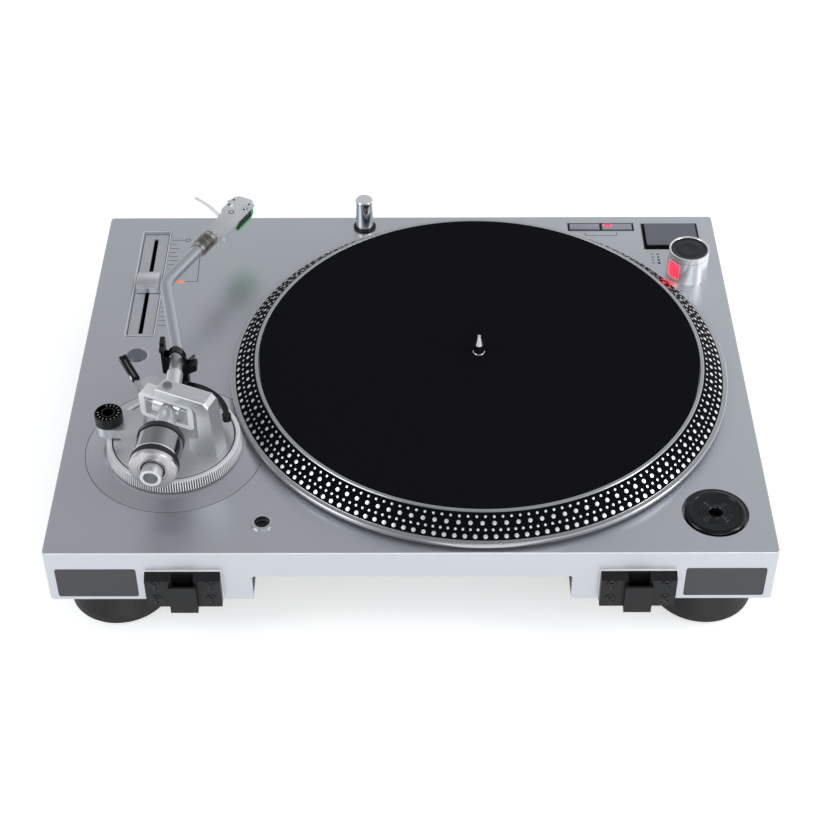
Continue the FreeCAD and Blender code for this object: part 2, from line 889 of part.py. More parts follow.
def make_hinge_bracket(name, side):
    """A screwed-on holder for one of the cover's hinges, open at its top."""
    body = new_body(name)
    profile = sketch_on(body, "YZ_Plane")
    foot = -d.hinge_bottom
    points = [
        (0, foot),
        (d.hinge_proud, foot),
        (d.hinge_proud, -d.hinge_top - d.hinge_bevel),
        (0, -d.hinge_top),
    ]
    outline(profile, points)
    pad(body, profile, d.hinge_width, middle=True)
    block = sketch_on(body, offset=-d.socket_bottom)
    rectangle(block, -d.socket_width / 2, 0, d.socket_width / 2, d.socket_proud)
    pad(body, block, d.socket_bottom - d.socket_top)
    mouth = sketch_on(body, offset=-d.hinge_bottom)
    outer = d.socket_proud - d.socket_wall
    rectangle(mouth, -d.socket_mouth / 2, outer - d.socket_slot, d.socket_mouth / 2, outer)
    pocket(body, mouth, d.hinge_bottom, backwards=True)
    holes = sketch_on(body, "XZ_Plane", offset=-d.hinge_proud)
    for end in (-1, 1):
        for z in (d.screw_high, d.screw_low):
            circle(holes, end * d.screw_spread, -z, d.screw_radius + d.screw_clearance)
    DOC.recompute()
    before = body.Shape.Volume
    hole = body.newObject("PartDesign::Hole", f"{name}_hole")
    hole.Profile = holes
    hole.DepthType = "ThroughAll"
    hole.Reversed = True
    hole.Diameter = value_of(2 * (d.screw_radius + d.screw_clearance))
    bind(hole, "Diameter", 2 * (d.screw_radius + d.screw_clearance))
    hole.HoleCutType = "Countersink"
    hole.HoleCutDiameter = value_of(2 * (d.screw_head + d.screw_clearance))
    bind(hole, "HoleCutDiameter", 2 * (d.screw_head + d.screw_clearance))
    hole.HoleCutCountersinkAngle = 90
    DOC.recompute()
    check_cut(hole, before, body)
    return place(body, side * d.hinge_x, d.case_depth / 2)


# The connectors in the rear bay


def rear_wall():
    """The place of the bay's front wall, which the connectors stand on."""
    return d.case_depth / 2 - d.bay_depth


def rear_holes():
    """The middles of the round holes behind the jacks, the earth post and the power inlet."""
    jacks = [d.jack_x + side * d.jack_pitch / 2 for side in (-1, 1)]
    return jacks + [d.earth_x, d.inlet_x]


def on_rear_wall(name):
    """A body whose own y runs out of the bay, from the wall's face."""
    return place(new_body(name), 0 * d.bay_width, rear_wall(), -d.jack_height)


def bored(body, spots, radius, depth):
    """Round holes from the open end of the sockets inwards."""
    holes = sketch_on(body, "XZ_Plane", offset=-d.jack_reach)
    for x in spots:
        circle(holes, x, 0 * d.bay_width, radius)
    return pocket(body, holes, depth, backwards=True)


def barrels(body, spots, radius, length, inward=False):
    tubes = sketch_on(body, "XZ_Plane")
    for x in spots:
        circle(tubes, x, 0 * d.bay_width, radius)
    return pad(body, tubes, length, backwards=not inward)


def make_rca_jacks():
    body = on_rear_wall("rca_jacks")
    spots = rear_holes()[:2]
    plate = sketch_on(body, "XZ_Plane")
    centred(plate, d.jack_x, 0 * d.bay_width, d.jack_pitch + 2 * d.jack_flange, 2 * d.jack_flange)
    pad(body, plate, d.jack_plate, backwards=True)
    barrels(body, spots, d.jack_radius, d.jack_reach)
    barrels(body, spots, d.spigot_radius, d.tray_thickness, inward=True)
    bored(body, spots, d.jack_core, d.jack_reach)
    return body


def make_power_inlet():
    body = on_rear_wall("power_inlet")
    spots = [d.inlet_x]
    barrels(body, spots, d.inlet_radius + d.jack_plate, d.jack_reach)
    barrels(body, spots, d.spigot_radius, d.tray_thickness, inward=True)
    bored(body, spots, d.inlet_radius - d.jack_plate, d.jack_reach - d.jack_plate)
    barrels(body, spots, d.inlet_pin, d.jack_reach - d.jack_plate)
    return body


def make_ground_post():
    body = on_rear_wall("ground_post")
    spots = [d.earth_x]
    barrels(body, spots, d.earth_radius, d.jack_reach / 2)
    barrels(body, spots, d.earth_radius / 2, d.jack_reach)
    barrels(body, spots, d.spigot_radius, d.tray_thickness, inward=True)
    return body


def make_usb_socket():
    body = on_rear_wall("usb_socket")
    shell = sketch_on(body, "XZ_Plane")
    wide, tall = d.usb_width, d.usb_height
    centred(shell, d.usb_x, 0 * d.bay_width, wide + 2 * d.jack_plate, tall + 2 * d.jack_plate)
    pad(body, shell, d.jack_reach / 2, backwards=True)
    mouth = sketch_on(body, "XZ_Plane", offset=-d.jack_reach / 2)
    centred(mouth, d.usb_x, 0 * d.bay_width, wide, tall)
    pocket(body, mouth, d.jack_reach / 2 - d.jack_plate / 2, backwards=True)
    tongue = sketch_on(body, "XZ_Plane")
    centred(tongue, d.usb_x, 0 * d.bay_width, wide / 2, tall / 4)
    pad(body, tongue, d.jack_reach / 2 - d.jack_plate / 2, backwards=True)
    return body


def make_line_switch():
    body = on_rear_wall("line_switch")
    cap = sketch_on(body, "XZ_Plane", offset=-d.key_gap)
    centred(cap, d.switch_x, 0 * d.bay_width, d.switch_width, d.switch_height)
    pad(body, cap, d.jack_plate * 2, backwards=True)
    stem = sketch_on(body, "XZ_Plane", offset=-d.key_gap)
    centred(stem, d.switch_x, 0 * d.bay_width, d.switch_stem, d.switch_stem)
    pad(body, stem, d.tray_thickness + 2 * d.key_gap)
    return body


# The drive


def make_motor_frame():
    """The dished plate that hangs under the deck and carries the bearing and the coils."""
    body = new_body("motor_frame")
    inner = d.well_radius - d.frame_plate - d.tray_gap
    bottom = -d.bearing_bottom
    floor = bottom + d.frame_plate
    hole = d.shaft_radius + d.bearing_wall + d.bearing_clearance
    under = -d.case_wall
    points = [
        (hole, bottom),
        (inner, bottom),
        (inner, under - d.frame_plate),
        (d.frame_radius, under - d.frame_plate),
        (d.frame_radius, under),
        (inner - d.frame_plate, under),
        (inner - d.frame_plate, floor),
        (d.stator_core, floor),
        (d.stator_core, -d.stator_bottom),
        (hole, -d.stator_bottom),
    ]
    turned(body, points)
    return place(body, d.platter_x, d.platter_y)


def make_bearing_sleeve():
    body = new_body("bearing_sleeve")
    outer = d.shaft_radius + d.bearing_wall
    inner = d.shaft_radius + d.bearing_clearance
    seat = -d.shaft_depth - d.bearing_clearance
    points = [
        (0, -d.bearing_bottom),
        (outer, -d.bearing_bottom),
        (outer, -d.bearing_top),
        (inner, -d.bearing_top),
        (inner, seat),
        (0, seat),
    ]
    turned(body, points)
    return place(body, d.platter_x, d.platter_y)


def make_spindle():
    """The shaft that turns in the sleeve, with a flange under the platter and a pointed record pin."""
    body = new_body("spindle")
    hub_bottom = d.hub_bottom
    flange = d.shaft_radius + d.bearing_wall
    top = d.seat_height + d.mat_thickness + d.spindle_straight
    points = [
        (0, -d.shaft_depth),
        (d.shaft_radius, -d.shaft_depth),
        (d.shaft_radius, hub_bottom - d.flange_thickness),
        (flange, hub_bottom - d.flange_thickness),
        (flange, hub_bottom),
        (d.shaft_radius, hub_bottom),
        (d.shaft_radius, top - d.spindle_straight),
        (d.spindle_radius, top - d.spindle_straight),
        (d.spindle_radius, top),
        (d.spindle_end, top + d.spindle_tip - d.spindle_straight),
        (0, top + d.spindle_tip - d.spindle_straight),
    ]
    turned(body, points)
    return place(body, d.platter_x, d.platter_y)


def make_platter():
    """The heavy turned platter: a sloped band outside, a seat for the mat, a skirt and a hub."""
    body = new_body("platter")
    under = d.seat_height - d.platter_plate
    hole = d.shaft_radius + d.bearing_clearance
    band_foot = d.skirt_radius
    points = [
        (hole, d.hub_bottom),
        (d.hub_radius, d.hub_bottom),
        (d.hub_radius, under),
        (d.skirt_radius - d.skirt_wall, under),
        (d.skirt_radius - d.skirt_wall, d.platter_bottom),
        (d.skirt_radius, d.platter_bottom),
        (d.platter_radius, d.rim_low),
        (d.platter_radius, d.rim_high - d.platter_edge),
        (d.platter_radius - d.platter_edge, d.rim_high),
        (band_foot, d.rim_high),
        (d.band_top_radius, d.lip_height),
        (d.lip_radius, d.lip_height),
        (d.lip_radius, d.seat_height),
        (hole, d.seat_height),
    ]
    turned(body, points)
    return place(body, d.platter_x, d.platter_y)


def make_slip_mat():
    body = new_body("slip_mat")
    outer = d.lip_radius - d.mat_gap
    inner = d.shaft_radius + d.mat_gap
    low, high = d.seat_height, d.seat_height + d.mat_thickness
    turned(body, [(inner, low), (outer, low), (outer, high), (inner, high)])
    return place(body, d.platter_x, d.platter_y)


def make_rotor_magnet():
    body = new_body("rotor_magnet")
    top = d.seat_height - d.platter_plate
    inner = d.magnet_radius - d.magnet_wall
    points = [
        (inner, top),
        (inner, top - d.magnet_drop),
        (d.magnet_radius, top - d.magnet_drop),
        (d.magnet_radius, top),
    ]
    turned(body, points)
    return place(body, d.platter_x, d.platter_y)


def make_stator():
    """A ring with coil-wound poles, all alike, standing on the motor frame."""
    body = new_body("stator")
    hole = d.shaft_radius + d.bearing_wall + d.tray_gap
    low, high = -d.stator_bottom, -d.stator_top
    points = [(hole, low), (d.stator_core, low), (d.stator_core, high), (hole, high)]
    turned(body, points)
    arm = sketch_on(body, offset=low)
    rectangle(arm, d.stator_core / 2, -d.pole_width / 2, d.stator_radius, d.pole_width / 2)
    first = pad(body, arm, high - low)
    pattern = body.newObject("PartDesign::PolarPattern", "stator_poles")
    axis = next(item for item in body.Origin.OriginFeatures if item.Role == "Z_Axis")
    pattern.Originals = [first]
    pattern.Axis = (axis, [""])
    pattern.Angle = 360
    pattern.Occurrences = round(value_of(d.stator_poles))
    bind(pattern, "Occurrences", d.stator_poles)
    body.Tip = pattern
    DOC.recompute()
    return place(body, d.platter_x, d.platter_y)


def make_main_board():
    """The circuit board with a transformer block and a row of capacitors."""
    body = new_body("main_board")
    low = d.tray_thickness - d.case_height + d.board_lift - d.tray_thickness
    board = sketch_on(body, offset=low)
    centred(board, d.board_x, d.board_y, d.board_width, d.board_depth)
    pad(body, board, d.board_plate)
    block = sketch_on(body, offset=low)
    centred(block, d.board_x, d.board_y + d.board_depth / 4, d.board_width / 4, d.board_depth / 4)
    pad(body, block, d.board_plate * 8)
    cans = sketch_on(body, offset=low)
    for step in range(4):
        circle(cans, d.board_x + (step - 2) * d.board_width / 6, d.board_y - d.board_depth / 4, d.pillar_radius)
    pad(body, cans, d.board_plate * 6)
    return place(body)


# The controls


def bezel_outlines():
    """The openings for the two keys' frames: middle x and y, width and depth."""
    border = 2 * (d.bezel_border + d.key_gap)
    speed_width = 2 * (d.speed_width + 2 * d.key_gap) + d.speed_middle + 2 * d.bezel_border
    start = (d.start_x, d.start_y, d.start_width + border, d.start_depth + border)
    return start, (d.speed_x, d.speed_y, speed_width, d.speed_depth + border)


def speed_place(side):
    return d.speed_x + side * (d.speed_width + 2 * d.key_gap + d.speed_middle) / 2


def make_control_bezels():
    """One moulding under the deck whose two frames stand up around the keys."""
    body = new_body("control_bezels")
    start, speed = bezel_outlines()
    plate = sketch_on(body, offset=-d.case_wall)
    margin = d.bezel_border
    low_x = start[0] - start[2] / 2 - margin
    high_x = speed[0] + speed[2] / 2 + margin
    low_y = start[1] - start[3] / 2 - margin
    rectangle(plate, low_x, low_y, high_x, start[1] + start[3] / 2 + margin)
    pad(body, plate, d.bezel_plate, backwards=True)
    frames = sketch_on(body, offset=-d.case_wall)
    for x, y, width, depth in (start, speed):
        centred(frames, x, y, width - d.bezel_fit, depth - d.bezel_fit)
    pad(body, frames, d.case_wall - d.bezel_drop)
    wells = sketch_on(body)
    centred(wells, d.start_x, d.start_y, d.start_width + 2 * d.key_gap, d.start_depth + 2 * d.key_gap)
    for side in (-1, 1):
        width, depth = d.speed_width + 2 * d.key_gap, d.speed_depth + 2 * d.key_gap
        centred(wells, speed_place(side), d.speed_y, width, depth)
    pocket(body, wells, d.case_wall + 2 * d.bezel_plate)
    return place(body)


def make_key(name, x, y, width, depth, proud):
    """A flat key that sinks into its frame, with an eased top edge and a wider plunger below."""
    body = new_body(name)
    cap = sketch_on(body, offset=-d.key_depth)
    centred(cap, 0 * width, 0 * depth, width, depth)
    pad(body, cap, proud + d.key_depth)
    eased(body, "Chamfer", d.key_edge, lambda edge: level(edge, "z", proud))
    return place(body, x, y)


def make_button(name, x, y, radius):
    body = new_body(name)
    edge = d.key_edge
    top = d.button_proud
    points = [(0, -d.key_depth), (radius, -d.key_depth), (radius, top - edge), (radius - edge, top), (0, top)]
    turned(body, points)
    return place(body, x, y)


def make_tempo_slider():
    """A ridge-backed cap on a stem that runs in the deck's slot."""
    body = new_body("tempo_slider")
    side = sketch_on(body, "YZ_Plane")
    bottom = d.fader_gap - d.recess_depth
    reach = d.fader_length / 2
    rise = d.fader_height - bottom
    ends = [Vector(value_of(-reach), value_of(bottom), 0), Vector(value_of(reach), value_of(bottom), 0)]
    crown = Vector(0, value_of(d.fader_height), 0)
    arch = side.addGeometry(Part.Arc(ends[1], crown, ends[0]))
    base = side.addGeometry(Part.LineSegment(ends[0], ends[1]))
    hold(side, base, 1, -reach, bottom)
    hold(side, base, 2, reach, bottom)
    side.addConstraint(Sketcher.Constraint("Coincident", base, 2, arch, 1))
    side.addConstraint(Sketcher.Constraint("Coincident", base, 1, arch, 2))
    radius = (reach * reach + rise * rise) / (2 * rise)
    number = side.addConstraint(Sketcher.Constraint("Radius", arch, value_of(radius)))
    bind(side, f"Constraints[{number}]", radius)
    pad(body, side, d.fader_width, middle=True)
    stem = sketch_on(body, offset=bottom)
    centred(stem, 0 * reach, 0 * reach, d.slot_width - 2 * d.fader_gap, d.fader_stem)
    pad(body, stem, d.pot_top + d.pot_grip + bottom, backwards=True)
    return place(body, d.tempo_x, d.tempo_y)


def make_tempo_potentiometer():
    body = new_body("tempo_potentiometer")
    case = sketch_on(body, offset=-d.pot_top)
    length = d.slot_length + d.pot_end
    centred(case, 0 * length, 0 * length, d.pot_width, length)
    pad(body, case, d.pot_height, backwards=True)
    track = sketch_on(body, offset=-d.pot_top)
    centred(track, 0 * length, 0 * length, d.slot_width, d.slot_length)
    pocket(body, track, d.pot_grip + 2 * d.fader_gap)
    feet = sketch_on(body, offset=-d.pot_top)
    for end in (-1, 1):
        centred(feet, 0 * length, end * (length - d.pot_end / 2) / 2, d.pot_width, d.pot_end / 4)
    pad(body, feet, d.pot_top - d.case_wall)
    return place(body, d.tempo_x, d.tempo_y)


def make_tempo_lamp():
    body = new_body("tempo_lamp")
    bar = sketch_on(body, offset=-d.case_wall - d.bezel_plate)
    centred(bar, 0 * d.lamp_width, 0 * d.lamp_width, d.lamp_width - d.bezel_fit, d.lamp_depth - d.bezel_fit)
    pad(body, bar, d.case_wall + d.bezel_plate)
    flange = sketch_on(body, offset=-d.case_wall)
    centred(flange, 0 * d.lamp_width, 0 * d.lamp_width, d.lamp_width + d.lamp_depth, 2 * d.lamp_depth)
    pad(body, flange, d.bezel_plate, backwards=True)
    return place(body, d.lamp_x, d.lamp_y)


def window_direction():
    """Which way the strobe's window looks, from the tower to the platter's middle."""
    across = d.platter_x - d.tower_x
    ahead = d.platter_y - d.tower_y
    angle = math.degrees(math.atan2(ahead.value, across.value))
    return Size(angle, f"atan2({ahead.formula}; {across.formula})")


def make_strobe_tower():
    """The lamp housing under the power dial: a thin tube on the deck with a window in its side."""
    body = new_body("strobe_tower")
    inner = d.tower_radius - d.tower_wall
    spigot = inner - d.bezel_fit
    neck = d.dial_shaft + d.dial_fit
    hub = neck + d.tower_wall
    points = [
        (neck, -d.tower_spigot),
        (spigot, -d.tower_spigot),
        (spigot, 0),
        (d.tower_radius, 0),
        (d.tower_top_radius, d.tower_height),
        (d.tower_top_radius - d.tower_wall, d.tower_height),
        (inner - d.bezel_fit, d.tower_floor),
        (hub, d.tower_floor),
        (hub, d.window_low + d.tower_floor),
        (neck, d.window_low + d.tower_floor),
    ]
    turned(body, points)
    low, high = d.window_low, d.window_high
    window = [(hub + d.tower_wall, low), (d.tower_radius + 1, low), (d.tower_radius + 1, high)]
    turned(body, window + [(hub + d.tower_wall, high)], angle=d.window_angle, groove=True)
    return place(body, d.tower_x, d.tower_y, turn=window_direction())


def make_strobe_lens():
    body = new_body("strobe_lens")
    fit = d.bezel_fit
    low, high = d.window_low + fit, d.window_high - fit
    outer = d.tower_top_radius - d.lens_drop
    inner = outer - d.lens_wall
    points = [(inner, low), (outer, low), (outer, high), (inner, high)]
    turned(body, points, angle=d.window_angle - 2)
    return place(body, d.tower_x, d.tower_y, turn=window_direction())


def make_power_dial():
    """The dished switch on top of the tower, on a shaft that turns in the tower's neck."""
    body = new_body("power_dial")
    bottom = d.tower_height + d.dial_gap
    top = d.dial_height
    rim = d.tower_top_radius - d.dial_rim
    points = [
        (0, -d.tower_spigot),
        (d.dial_shaft, -d.tower_spigot),
        (d.dial_shaft, bottom),
        (d.tower_top_radius, bottom),
        (d.tower_top_radius, top),
        (rim, top),
        (rim - d.dial_dish, top - d.dial_dish),
        (0, top - d.dial_dish),
    ]
    turned(body, points)
    return place(body, d.tower_x, d.tower_y)


def make_light_collar():
    body = new_body("light_collar")
    inner = d.light_radius + d.light_clearance
    outer = d.collar_radius - d.collar_lip - d.bezel_fit
    bottom = -d.light_depth - d.light_travel
    points = [
        (inner, bottom),
        (outer, bottom),
        (outer, 0),
        (d.collar_radius, 0),
        (d.collar_radius, d.collar_proud),
        (inner, d.collar_proud),
    ]
    turned(body, points)
    return place(body, d.light_x, d.light_y)


def make_target_light():
    body = new_body("target_light")
    edge = d.key_edge
    top = d.light_height
    radius = d.light_radius
    points = [(0, -d.light_depth), (radius, -d.light_depth), (radius, top - edge), (radius - edge, top), (0, top)]
    turned(body, points)
    return place(body, d.light_x, d.light_y)


def make_adapter():
    """The adapter for records with a large hole, a stepped disc with a hole for the record pin."""
    body = new_body("adapter_45")
    low = -d.adapter_depth
    step = d.adapter_radius - d.adapter_step
    hole = d.adapter_bore
    points = [
        (hole, low),
        (d.adapter_radius, low),
        (d.adapter_radius, 0),
        (step, d.adapter_proud),
        (hole + d.adapter_step, d.adapter_proud),
        (hole, d.adapter_proud - d.adapter_step / 2),
    ]
    turned(body, points)
    return place(body, d.adapter_x, d.adapter_y)


def make_headshell_socket():
    body = new_body("headshell_socket")
    outer = d.storage_radius - d.collar_lip - d.bezel_fit
    floor = -d.storage_depth
    points = [
        (0, floor - d.collar_lip),
        (outer, floor - d.collar_lip),
        (outer, 0),
        (d.storage_radius, 0),
        (d.storage_radius, d.collar_proud),
        (d.storage_bore, d.collar_proud),
        (d.storage_bore, floor),
        (0, floor),
    ]
    turned(body, points)
    return place(body, d.storage_x, d.storage_y)


# The arm's base


def at_pivot(body, z=0, turn=0):
    return place(body, d.pivot_x, d.pivot_y, z, turn)


def polar(radius, angle):
    return radius * cosine(angle), radius * sine(angle)


def make_arm_base_plate():
    body = new_body("arm_base_plate")
    flange = d.base_radius + d.base_lip
    step = -d.case_wall - d.base_flange
    points = [
        (d.base_bore, -d.base_depth),
        (d.base_tube, -d.base_depth),
        (d.base_tube, step),
        (flange, step),
        (flange, -d.case_wall),
        (d.base_radius, -d.case_wall),
        (d.base_radius, 0),
        (d.base_step, d.base_rise),
        (d.base_bore, d.base_rise),
    ]
    turned(body, points)
    return at_pivot(body)


def make_height_ring():
    """The knurled ring that is turned to raise the arm's platform."""
    body = new_body("height_ring")
    inner = d.base_bore + d.ring_gap
    web = d.platform_top - d.platform_plate - d.base_joint
    low, high = d.height_ring_bottom, d.height_ring_top
    points = [
        (inner, low),
        (d.height_ring_foot, low),
        (d.height_ring_head + d.case_edge / 2, high - d.case_edge),
        (d.height_ring_head - d.case_edge / 2, high),
        (d.height_ring_inner, high),
        (d.height_ring_inner, web),
        (inner, web),
    ]
    turned(body, points)
    return at_pivot(body)


def make_arm_platform():
    """The disc that carries the arm's bearings, cast in one with its lug, lift boss and guide."""
    body = new_body("arm_platform")
    under = d.platform_top - d.platform_plate
    stem = d.base_bore - d.stem_clearance
    points = [
        (0, under),
        (stem - d.stem_wall, under),
        (stem - d.stem_wall, d.height_travel - d.base_depth),
        (stem, d.height_travel - d.base_depth),
        (stem, under),
        (d.platform_radius, under),
        (d.platform_radius, d.platform_top),
        (0, d.platform_top),
    ]
    turned(body, points)
    lug_x, lug_y = d.lug_x - d.pivot_x, d.lug_y - d.pivot_y
    low = d.height_ring_top + d.lug_gap
    half = d.lug_radius
    foot = sketch_on(body, offset=d.platform_top)
    rectangle(foot, d.platform_radius / 2, lug_y - half, d.platform_radius - half / 2, lug_y + half)
    pad(body, foot, low - d.platform_top)
    bridge = sketch_on(body, offset=low)
    rectangle(bridge, d.platform_radius / 2, lug_y - half, lug_x, lug_y + half)
    pad(body, bridge, d.lug_top - low)
    end = sketch_on(body, offset=low)
    circle(end, lug_x, lug_y, half)
    pad(body, end, d.lug_top - low)
    hole = sketch_on(body, offset=d.lug_top)
    circle(hole, lug_x, lug_y, d.knob_shaft + d.knob_fit)
    pocket(body, hole, d.knob_shaft_depth + d.skate_gap)

    cue_x, cue_y = d.cue_x - d.pivot_x, d.cue_y - d.pivot_y
    boss_foot = sketch_on(body, offset=d.platform_top)
    circle(boss_foot, cue_x, cue_y, d.cue_radius - d.cue_neck)
    pad(body, boss_foot, low - d.platform_top)
    boss = sketch_on(body, offset=low)
    circle(boss, cue_x, cue_y, d.cue_radius)
    pad(body, boss, d.cue_top - low)
    turn = d.cue_bearing
    along_x = cue_x * cosine(turn) + cue_y * sine(turn)
    side_y = cue_y * cosine(turn) - cue_x * sine(turn)
    depth = d.cue_radius
    bearing = [
        (side_y, 0 * depth),
        (side_y + depth, 0 * depth),
        (side_y + depth, d.cue_pin + d.knob_fit),
        (side_y, d.cue_pin + d.knob_fit),
    ]
    crossways_groove(body, bearing, turn, along_x, d.cue_axis)

    rod_x, rod_y = polar(d.lifter_radius, d.lifter_rod_bearing)
    guide = sketch_on(body, offset=d.platform_top)
    circle(guide, rod_x, rod_y, d.lifter_rod + d.lifter_guide)
    pad(body, guide, d.lifter_guide_height)
    bore = sketch_on(body, offset=d.platform_top + d.lifter_guide_height)
    circle(bore, rod_x, rod_y, d.lifter_rod + d.knob_fit)
    pocket(body, bore, d.lifter_guide_height)
    return at_pivot(body)


def crossways_groove(body, points, turn, along_x, height):
    """Cut a round hole whose axis lies level, square to a bearing, at a distance along it."""
    sketch = sketch_on(body, offset=height, turn=turn)
    line = [(along_x + radius, across) for across, radius in points]
    outline(sketch, line)
    axis = sketch.addGeometry(Part.LineSegment(Vector(value_of(along_x), 0, 0), Vector(value_of(along_x), 1, 0)))
    sketch.setConstruction(axis, True)
    hold(sketch, axis, 1, along_x, 0 * height)
    hold(sketch, axis, 2, along_x, 0 * height + 1)
    before = body.Shape.Volume
    groove = body.newObject("PartDesign::Groove", f"{body.Name}_bearing")
    groove.Profile = sketch
    groove.ReferenceAxis = (sketch, ["Axis0"])
    DOC.recompute()
    check_cut(groove, before, body)


def make_arm_yoke():
    """The bracket that stands on the platform and reaches over the gimbal ring."""
    body = new_body("arm_yoke")
    face = sketch_on(body, "XZ_Plane")
    inner, outer = d.yoke_inner, d.yoke_outer
    under = d.yoke_top - d.yoke_arm
    foot_top = d.platform_top + d.yoke_foot_height
    points = [
        (-outer, d.platform_top),
        (-d.yoke_foot, d.platform_top),
        (-d.yoke_foot - d.yoke_round / 6, foot_top),
        (-inner, foot_top + d.yoke_round),
        (-inner, under - d.yoke_round),
        (d.yoke_round - inner, under),
        (d.yoke_tip, under),
        (d.yoke_tip, d.yoke_top),
        (d.yoke_round - d.yoke_shoulder, d.yoke_top),
        (-d.yoke_shoulder, d.yoke_top - d.yoke_round),
    ]
    outline(face, points)
    pad(body, face, 2 * d.yoke_half_depth, middle=True)
    side = value_of(d.yoke_half_depth)
    outside = [value_of(d.yoke_shoulder), value_of(d.yoke_round) - value_of(d.yoke_shoulder)]

    def top_edge(edge):
        high = all(vertex.Z > value_of(under) + 0.01 for vertex in edge.Vertexes)
        on_side = all(abs(abs(vertex.Y) - side) < 1e-5 for vertex in edge.Vertexes)
        return high and on_side and min(vertex.X for vertex in edge.Vertexes) > -outside[0] - 1

    eased(body, "Fillet", d.yoke_edge, top_edge)
    hole = sketch_on(body, offset=d.yoke_top)
    circle(hole, 0 * d.yoke_arm, 0 * d.yoke_arm, d.pivot_screw + d.pivot_fit)
    pocket(body, hole, d.yoke_arm + d.pivot_gap)
    return at_pivot(body, turn=-d.gimbal_angle)


def rod(name, radius, low, high):
    """An upright round bar."""
    bar = DOC.addObject("Part::Cylinder", name)
    bar.Radius = value_of(radius)
    bind(bar, "Radius", radius)
    bar.Height = value_of(high - low)
    bind(bar, "Height", high - low)
    bar.Placement.Base = Vector(0, 0, value_of(low))
    bind(bar, "Placement.Base.z", low)
    return bar


def make_pivot_screws():
    """The two pointed screws that the gimbal ring turns between."""
    ring_top = d.arm_height + d.gimbal_half_height
    ring_bottom = d.arm_height - d.gimbal_half_height
    grip = d.gimbal_bar / 2
    screws = DOC.addObject("Part::MultiFuse", "pivot_screws")
    screws.Shapes = [
        rod("top_screw", d.pivot_screw, ring_top + d.pivot_gap, d.yoke_top + d.pivot_head),
        rod("top_point", d.pivot_shank, ring_top - grip, ring_top + d.pivot_gap),
        rod("lower_post", d.pivot_post, d.platform_top, ring_bottom - d.pivot_gap),
        rod("lower_point", d.pivot_shank, ring_bottom - d.pivot_gap, ring_bottom + grip),
    ]
    DOC.recompute()
    return at_pivot(screws)


def make_arm_rest():
    """The forked post that the arm is laid on, on a bridge that clears the height ring."""
    body = new_body("arm_rest")
    low = d.height_ring_top + d.lug_gap
    middle = d.pivot_y - d.rest_y
    half = d.rest_half
    near, far = middle - d.rest_length / 2, middle + d.rest_length / 2
    foot = sketch_on(body, offset=d.platform_top)
    start = d.platform_radius - d.rest_foot
    rectangle(foot, -half, -d.platform_radius + d.lug_gap * 2, half, -start)
    pad(body, foot, low - d.platform_top)
    bridge = sketch_on(body, offset=low)
    rectangle(bridge, -half, -far, half, -start)
    pad(body, bridge, d.rest_wall)
    fork = sketch_on(body, "XZ_Plane", offset=near)
    cradle = d.rest_cradle
    fin = d.rest_outer
    points = [
        (-half, low),
        (half, low),
        (half, cradle - 3 * d.rest_wall),
        (fin + d.rest_wall, cradle - 2 * d.rest_wall),
        (fin + d.rest_wall, d.rest_top),
        (fin, d.rest_top),
        (fin, cradle + d.rest_wall),
        (fin - d.rest_wall, cradle),
        (-d.rest_inner, cradle),
        (-d.rest_inner, cradle - 1.5 * d.rest_wall),
        (-half, cradle - 2.5 * d.rest_wall),
    ]
    outline(fork, points)
    pad(body, fork, d.rest_length)
    hole = sketch_on(body, "XZ_Plane", offset=near)
    circle(hole, fin + d.rest_wall / 2, d.clip_height + d.clip_thickness / 2, d.clip_pin + d.pivot_fit)
    pocket(body, hole, d.rest_length, backwards=True)
    return at_pivot(body)


def make_rest_clip():
    """The keeper over the rest, with a wing for the finger and a pin in the rest's tall side."""
    body = new_body("rest_clip")
    fin = d.rest_outer
    near = d.pivot_y - d.rest_y - d.rest_length / 2 - d.pivot_gap
    low = d.clip_height
    high = low + d.clip_thickness
    reach = -d.clip_reach
    side = sketch_on(body, "XZ_Plane", offset=near)
    points = [
        (fin + d.rest_wall, low - d.clip_thickness / 4),
        (fin + d.rest_wall, high + d.clip_thickness / 4),
        (fin - d.rest_wall, high),
        (reach, high),
        (reach - d.clip_wing, high + d.clip_wing),
        (reach - d.clip_wing - d.clip_thickness / 2, low + d.clip_wing),
        (reach, low),
    ]
    outline(side, points)
    pad(body, side, d.clip_width, backwards=True)
    pin = sketch_on(body, "XZ_Plane", offset=near)
    circle(pin, fin + d.rest_wall / 2, low + d.clip_thickness / 2, d.clip_pin)
    pad(body, pin, d.rest_length / 2)
    return at_pivot(body)


